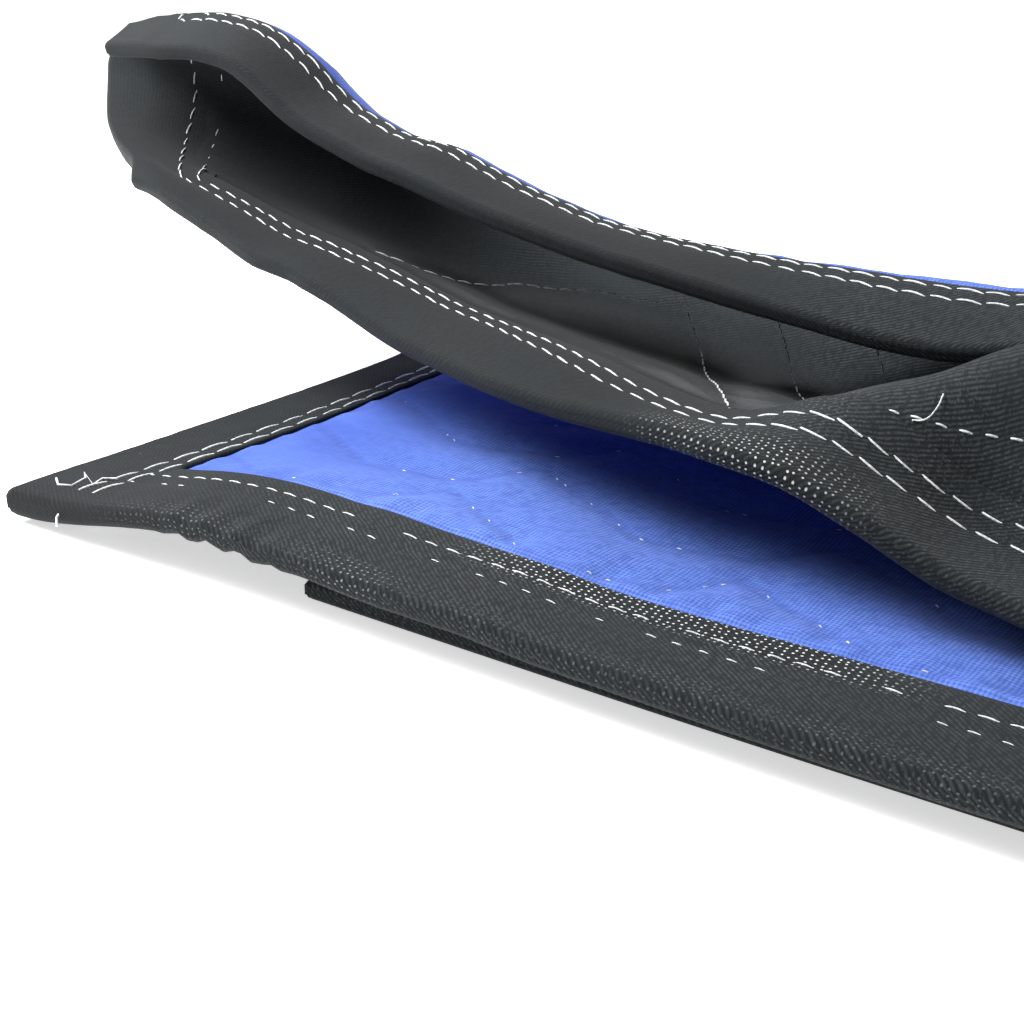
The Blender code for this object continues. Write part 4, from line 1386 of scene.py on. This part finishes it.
tack = [(x, y, tape_height(x, y) + TACK_LIFT) for x, y in CORNER_TACK]
flap_line = []
for x, place, lift in FLAP_THREAD:
    point, facing = on_cover(upper_start, len(columns), x, place, BLACK_FACE)
    flap_line.append(point + facing * lift)
trails = [[(x, y, z + mitre_rise(x, y)) for x, y, z in line] for line in CORNER_TRAILS]
loose_threads = thread_tube("loose_threads", [tack, *trails], THREAD_RADIUS)
flap_thread = thread_tube("flap_thread", [flap_line], FLAP_THREAD_RADIUS, "AUTO")

# %% [markdown]
# ## Handing the pieces to the frame
#
# Each new piece replaces its plain solid, which is hidden, and rides on the one body that the blanket is.

# %% Pieces and bodies
BODY = "root"
for piece, node, slot in (
    (black_cover, "black_panel", "black_cloth"),
    (blue_cover, "blue_panel", "blue_cloth"),
    (edge_binding, "edge_tape", "binding_tape"),
    (under_binding, "under_edge_tape", "binding_tape"),
):
    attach(piece, BODY)
    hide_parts(node)
tape_stitches = [upper_stitches, left_stitches, front_inner, front_outer]
for piece in (*tape_stitches, under_stitches, flap_seam, black_seams, blue_seams, loose_threads, flap_thread):
    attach(piece, BODY)

# %% [markdown]
# ## Floor
#
# The blanket lies on a white table that is lit faintly from below, as in product photography, so that it
# throws only a pale shadow. The table is a large square just under the cloth.

# %% Floor
FLOOR_HALF, FLOOR_DROP, TABLE_GLOW = 12.0, 0.0004, 0.6


def floor_material():
    """Opal acrylic lit from below, as on a product photographer's table: it leaves hardly a shadow."""
    material, tree, shader = new_material("opal acrylic table, lit from below")
    plug(tree, shader, {
        "Base Color": linear("#fbfbfb"), "Emission Color": linear("#ffffff"), "Emission Strength": TABLE_GLOW,
        "Roughness": 0.9, "Specular IOR Level": 0.1,
    })
    return material


floor_mesh = bpy.data.meshes.new("floor")
floor_mesh.from_pydata(
    [(x * FLOOR_HALF, y * FLOOR_HALF, -FLOOR_DROP) for x, y in ((-1, -1), (1, -1), (1, 1), (-1, 1))],
    [], [(0, 1, 2, 3)],
)
floor_mesh.materials.append(floor_material())
floor = new_object("floor", floor_mesh)
print("floor:", 2 * FLOOR_HALF, "m wide")

# %% [markdown]
# ## Light
#
# A softbox stands close to the left end: near the free corner the cloth is brightest, and it falls off
# to the right. A weak sun from the back leaves the blue under the flap in shade. The dome overhead is
# white and gets darker towards the horizon, which keeps the curl deep. One small spot, linked to the
# black cover alone, shows the zigzags inside the curl. Standard view keeps the blue as bright as it is.

# %% Light
BLANKET_MIDDLE = (-0.08, 0.0, 0.03)
SOFTBOX_PLACE, SOFTBOX_WATTS, SOFTBOX_SIZE = (-0.59, -0.15, 0.51), 9.8, 0.4
BACK_PLACE, BACK_STRENGTH, BACK_SPREAD = (-0.2, 0.9, 1.0), 0.7, math.radians(25)
CURL_PLACE, CURL_TARGET, CURL_WATTS = (-0.04, -0.3, 0.09), (-0.11, 0.05, 0.03), 17.0
CURL_CONE, CURL_LAMP = math.radians(28), 0.02


def lamp(name, kind, energy, position, target, **settings):
    """A light at a position that shines towards the target."""
    light = bpy.data.lights.new(name, kind)
    light.energy = energy
    for setting, value in settings.items():
        setattr(light, setting, value)
    holder = new_object(name, light)
    turn = (Vector(target) - Vector(position)).to_track_quat("-Z", "Y").to_matrix().to_4x4()
    holder.matrix_world = Matrix.Translation(position) @ turn
    print(name, "at", position)
    return holder


lamp(
    "left softbox", "AREA", SOFTBOX_WATTS, SOFTBOX_PLACE, BLANKET_MIDDLE,
    shape="RECTANGLE", size=SOFTBOX_SIZE, size_y=SOFTBOX_SIZE,
)
lamp("back light", "SUN", BACK_STRENGTH, BACK_PLACE, (0.0, 0.0, 0.0), angle=BACK_SPREAD)
curl_fill = lamp(
    "curl fill", "SPOT", CURL_WATTS, CURL_PLACE, CURL_TARGET,
    spot_size=CURL_CONE, spot_blend=1.0, shadow_soft_size=CURL_LAMP,
)
curl_only = bpy.data.collections.new("lit by the curl fill")
curl_only.objects.link(black_cover)
curl_fill.light_linking.receiver_collection = curl_only

# %% Dome
DOME_RISE, DOME_LOW, DOME_HIGH = (0.2, 0.8), 0.05, 0.7


def domed_world():
    """A studio dome: it lights less towards the horizon, so that deep folds stay dark, but looks white."""
    world = bpy.data.worlds.new("studio dome")
    world.use_nodes = True
    tree = world.node_tree
    way = add(tree, "ShaderNodeTexCoord").outputs["Generated"]
    rise = add(tree, SPLIT, {0: way}).outputs[2]
    seen = add(tree, "ShaderNodeLightPath").outputs["Is Camera Ray"]
    inputs = {0: rise, 1: DOME_RISE[0], 2: DOME_RISE[1], 3: DOME_LOW, 4: DOME_HIGH}
    dome = add(tree, RANGE, inputs, interpolation_type=EASED)
    glow = add(tree, MATH, {0: dome, 1: seen}, operation="MAXIMUM")
    plug(tree, tree.nodes["Background"], {"Strength": glow, "Color": linear("#ffffff")})
    return world


bpy.context.scene.world = domed_world()
bpy.context.scene.view_settings.view_transform = "Standard"

# %% [markdown]
# ## Camera
#
# The camera stands low at the front right, 0.35 m away, looks down by 22 degrees and is rolled a little.

# %% Camera
CAMERA_PLACE = Vector((0.06468, -0.30133, 0.13129))
HEADING, LOOK_DOWN, ROLL = math.radians(122.91), math.radians(22.0), math.radians(1.53)
SENSOR, LENS, NEAREST = 36.0, 51.61, 0.01
forward = Vector((
    math.cos(HEADING) * math.cos(LOOK_DOWN), math.sin(HEADING) * math.cos(LOOK_DOWN), -math.sin(LOOK_DOWN)
))
level_right = Vector((math.sin(HEADING), -math.cos(HEADING), 0.0))
level_up = level_right.cross(forward)
right = level_right * math.cos(ROLL) + level_up * math.sin(ROLL)
up = level_up * math.cos(ROLL) - level_right * math.sin(ROLL)
view = bpy.data.cameras.new("view")
view.sensor_width = SENSOR
view.lens = LENS
view.clip_start = NEAREST
camera = new_object("camera", view)
turned = Matrix((right, up, -forward)).transposed().to_4x4()
camera.matrix_world = Matrix.Translation(CAMERA_PLACE) @ turned
bpy.context.scene.camera = camera
print("camera height, mm:", round(CAMERA_PLACE.z / MM, 1))
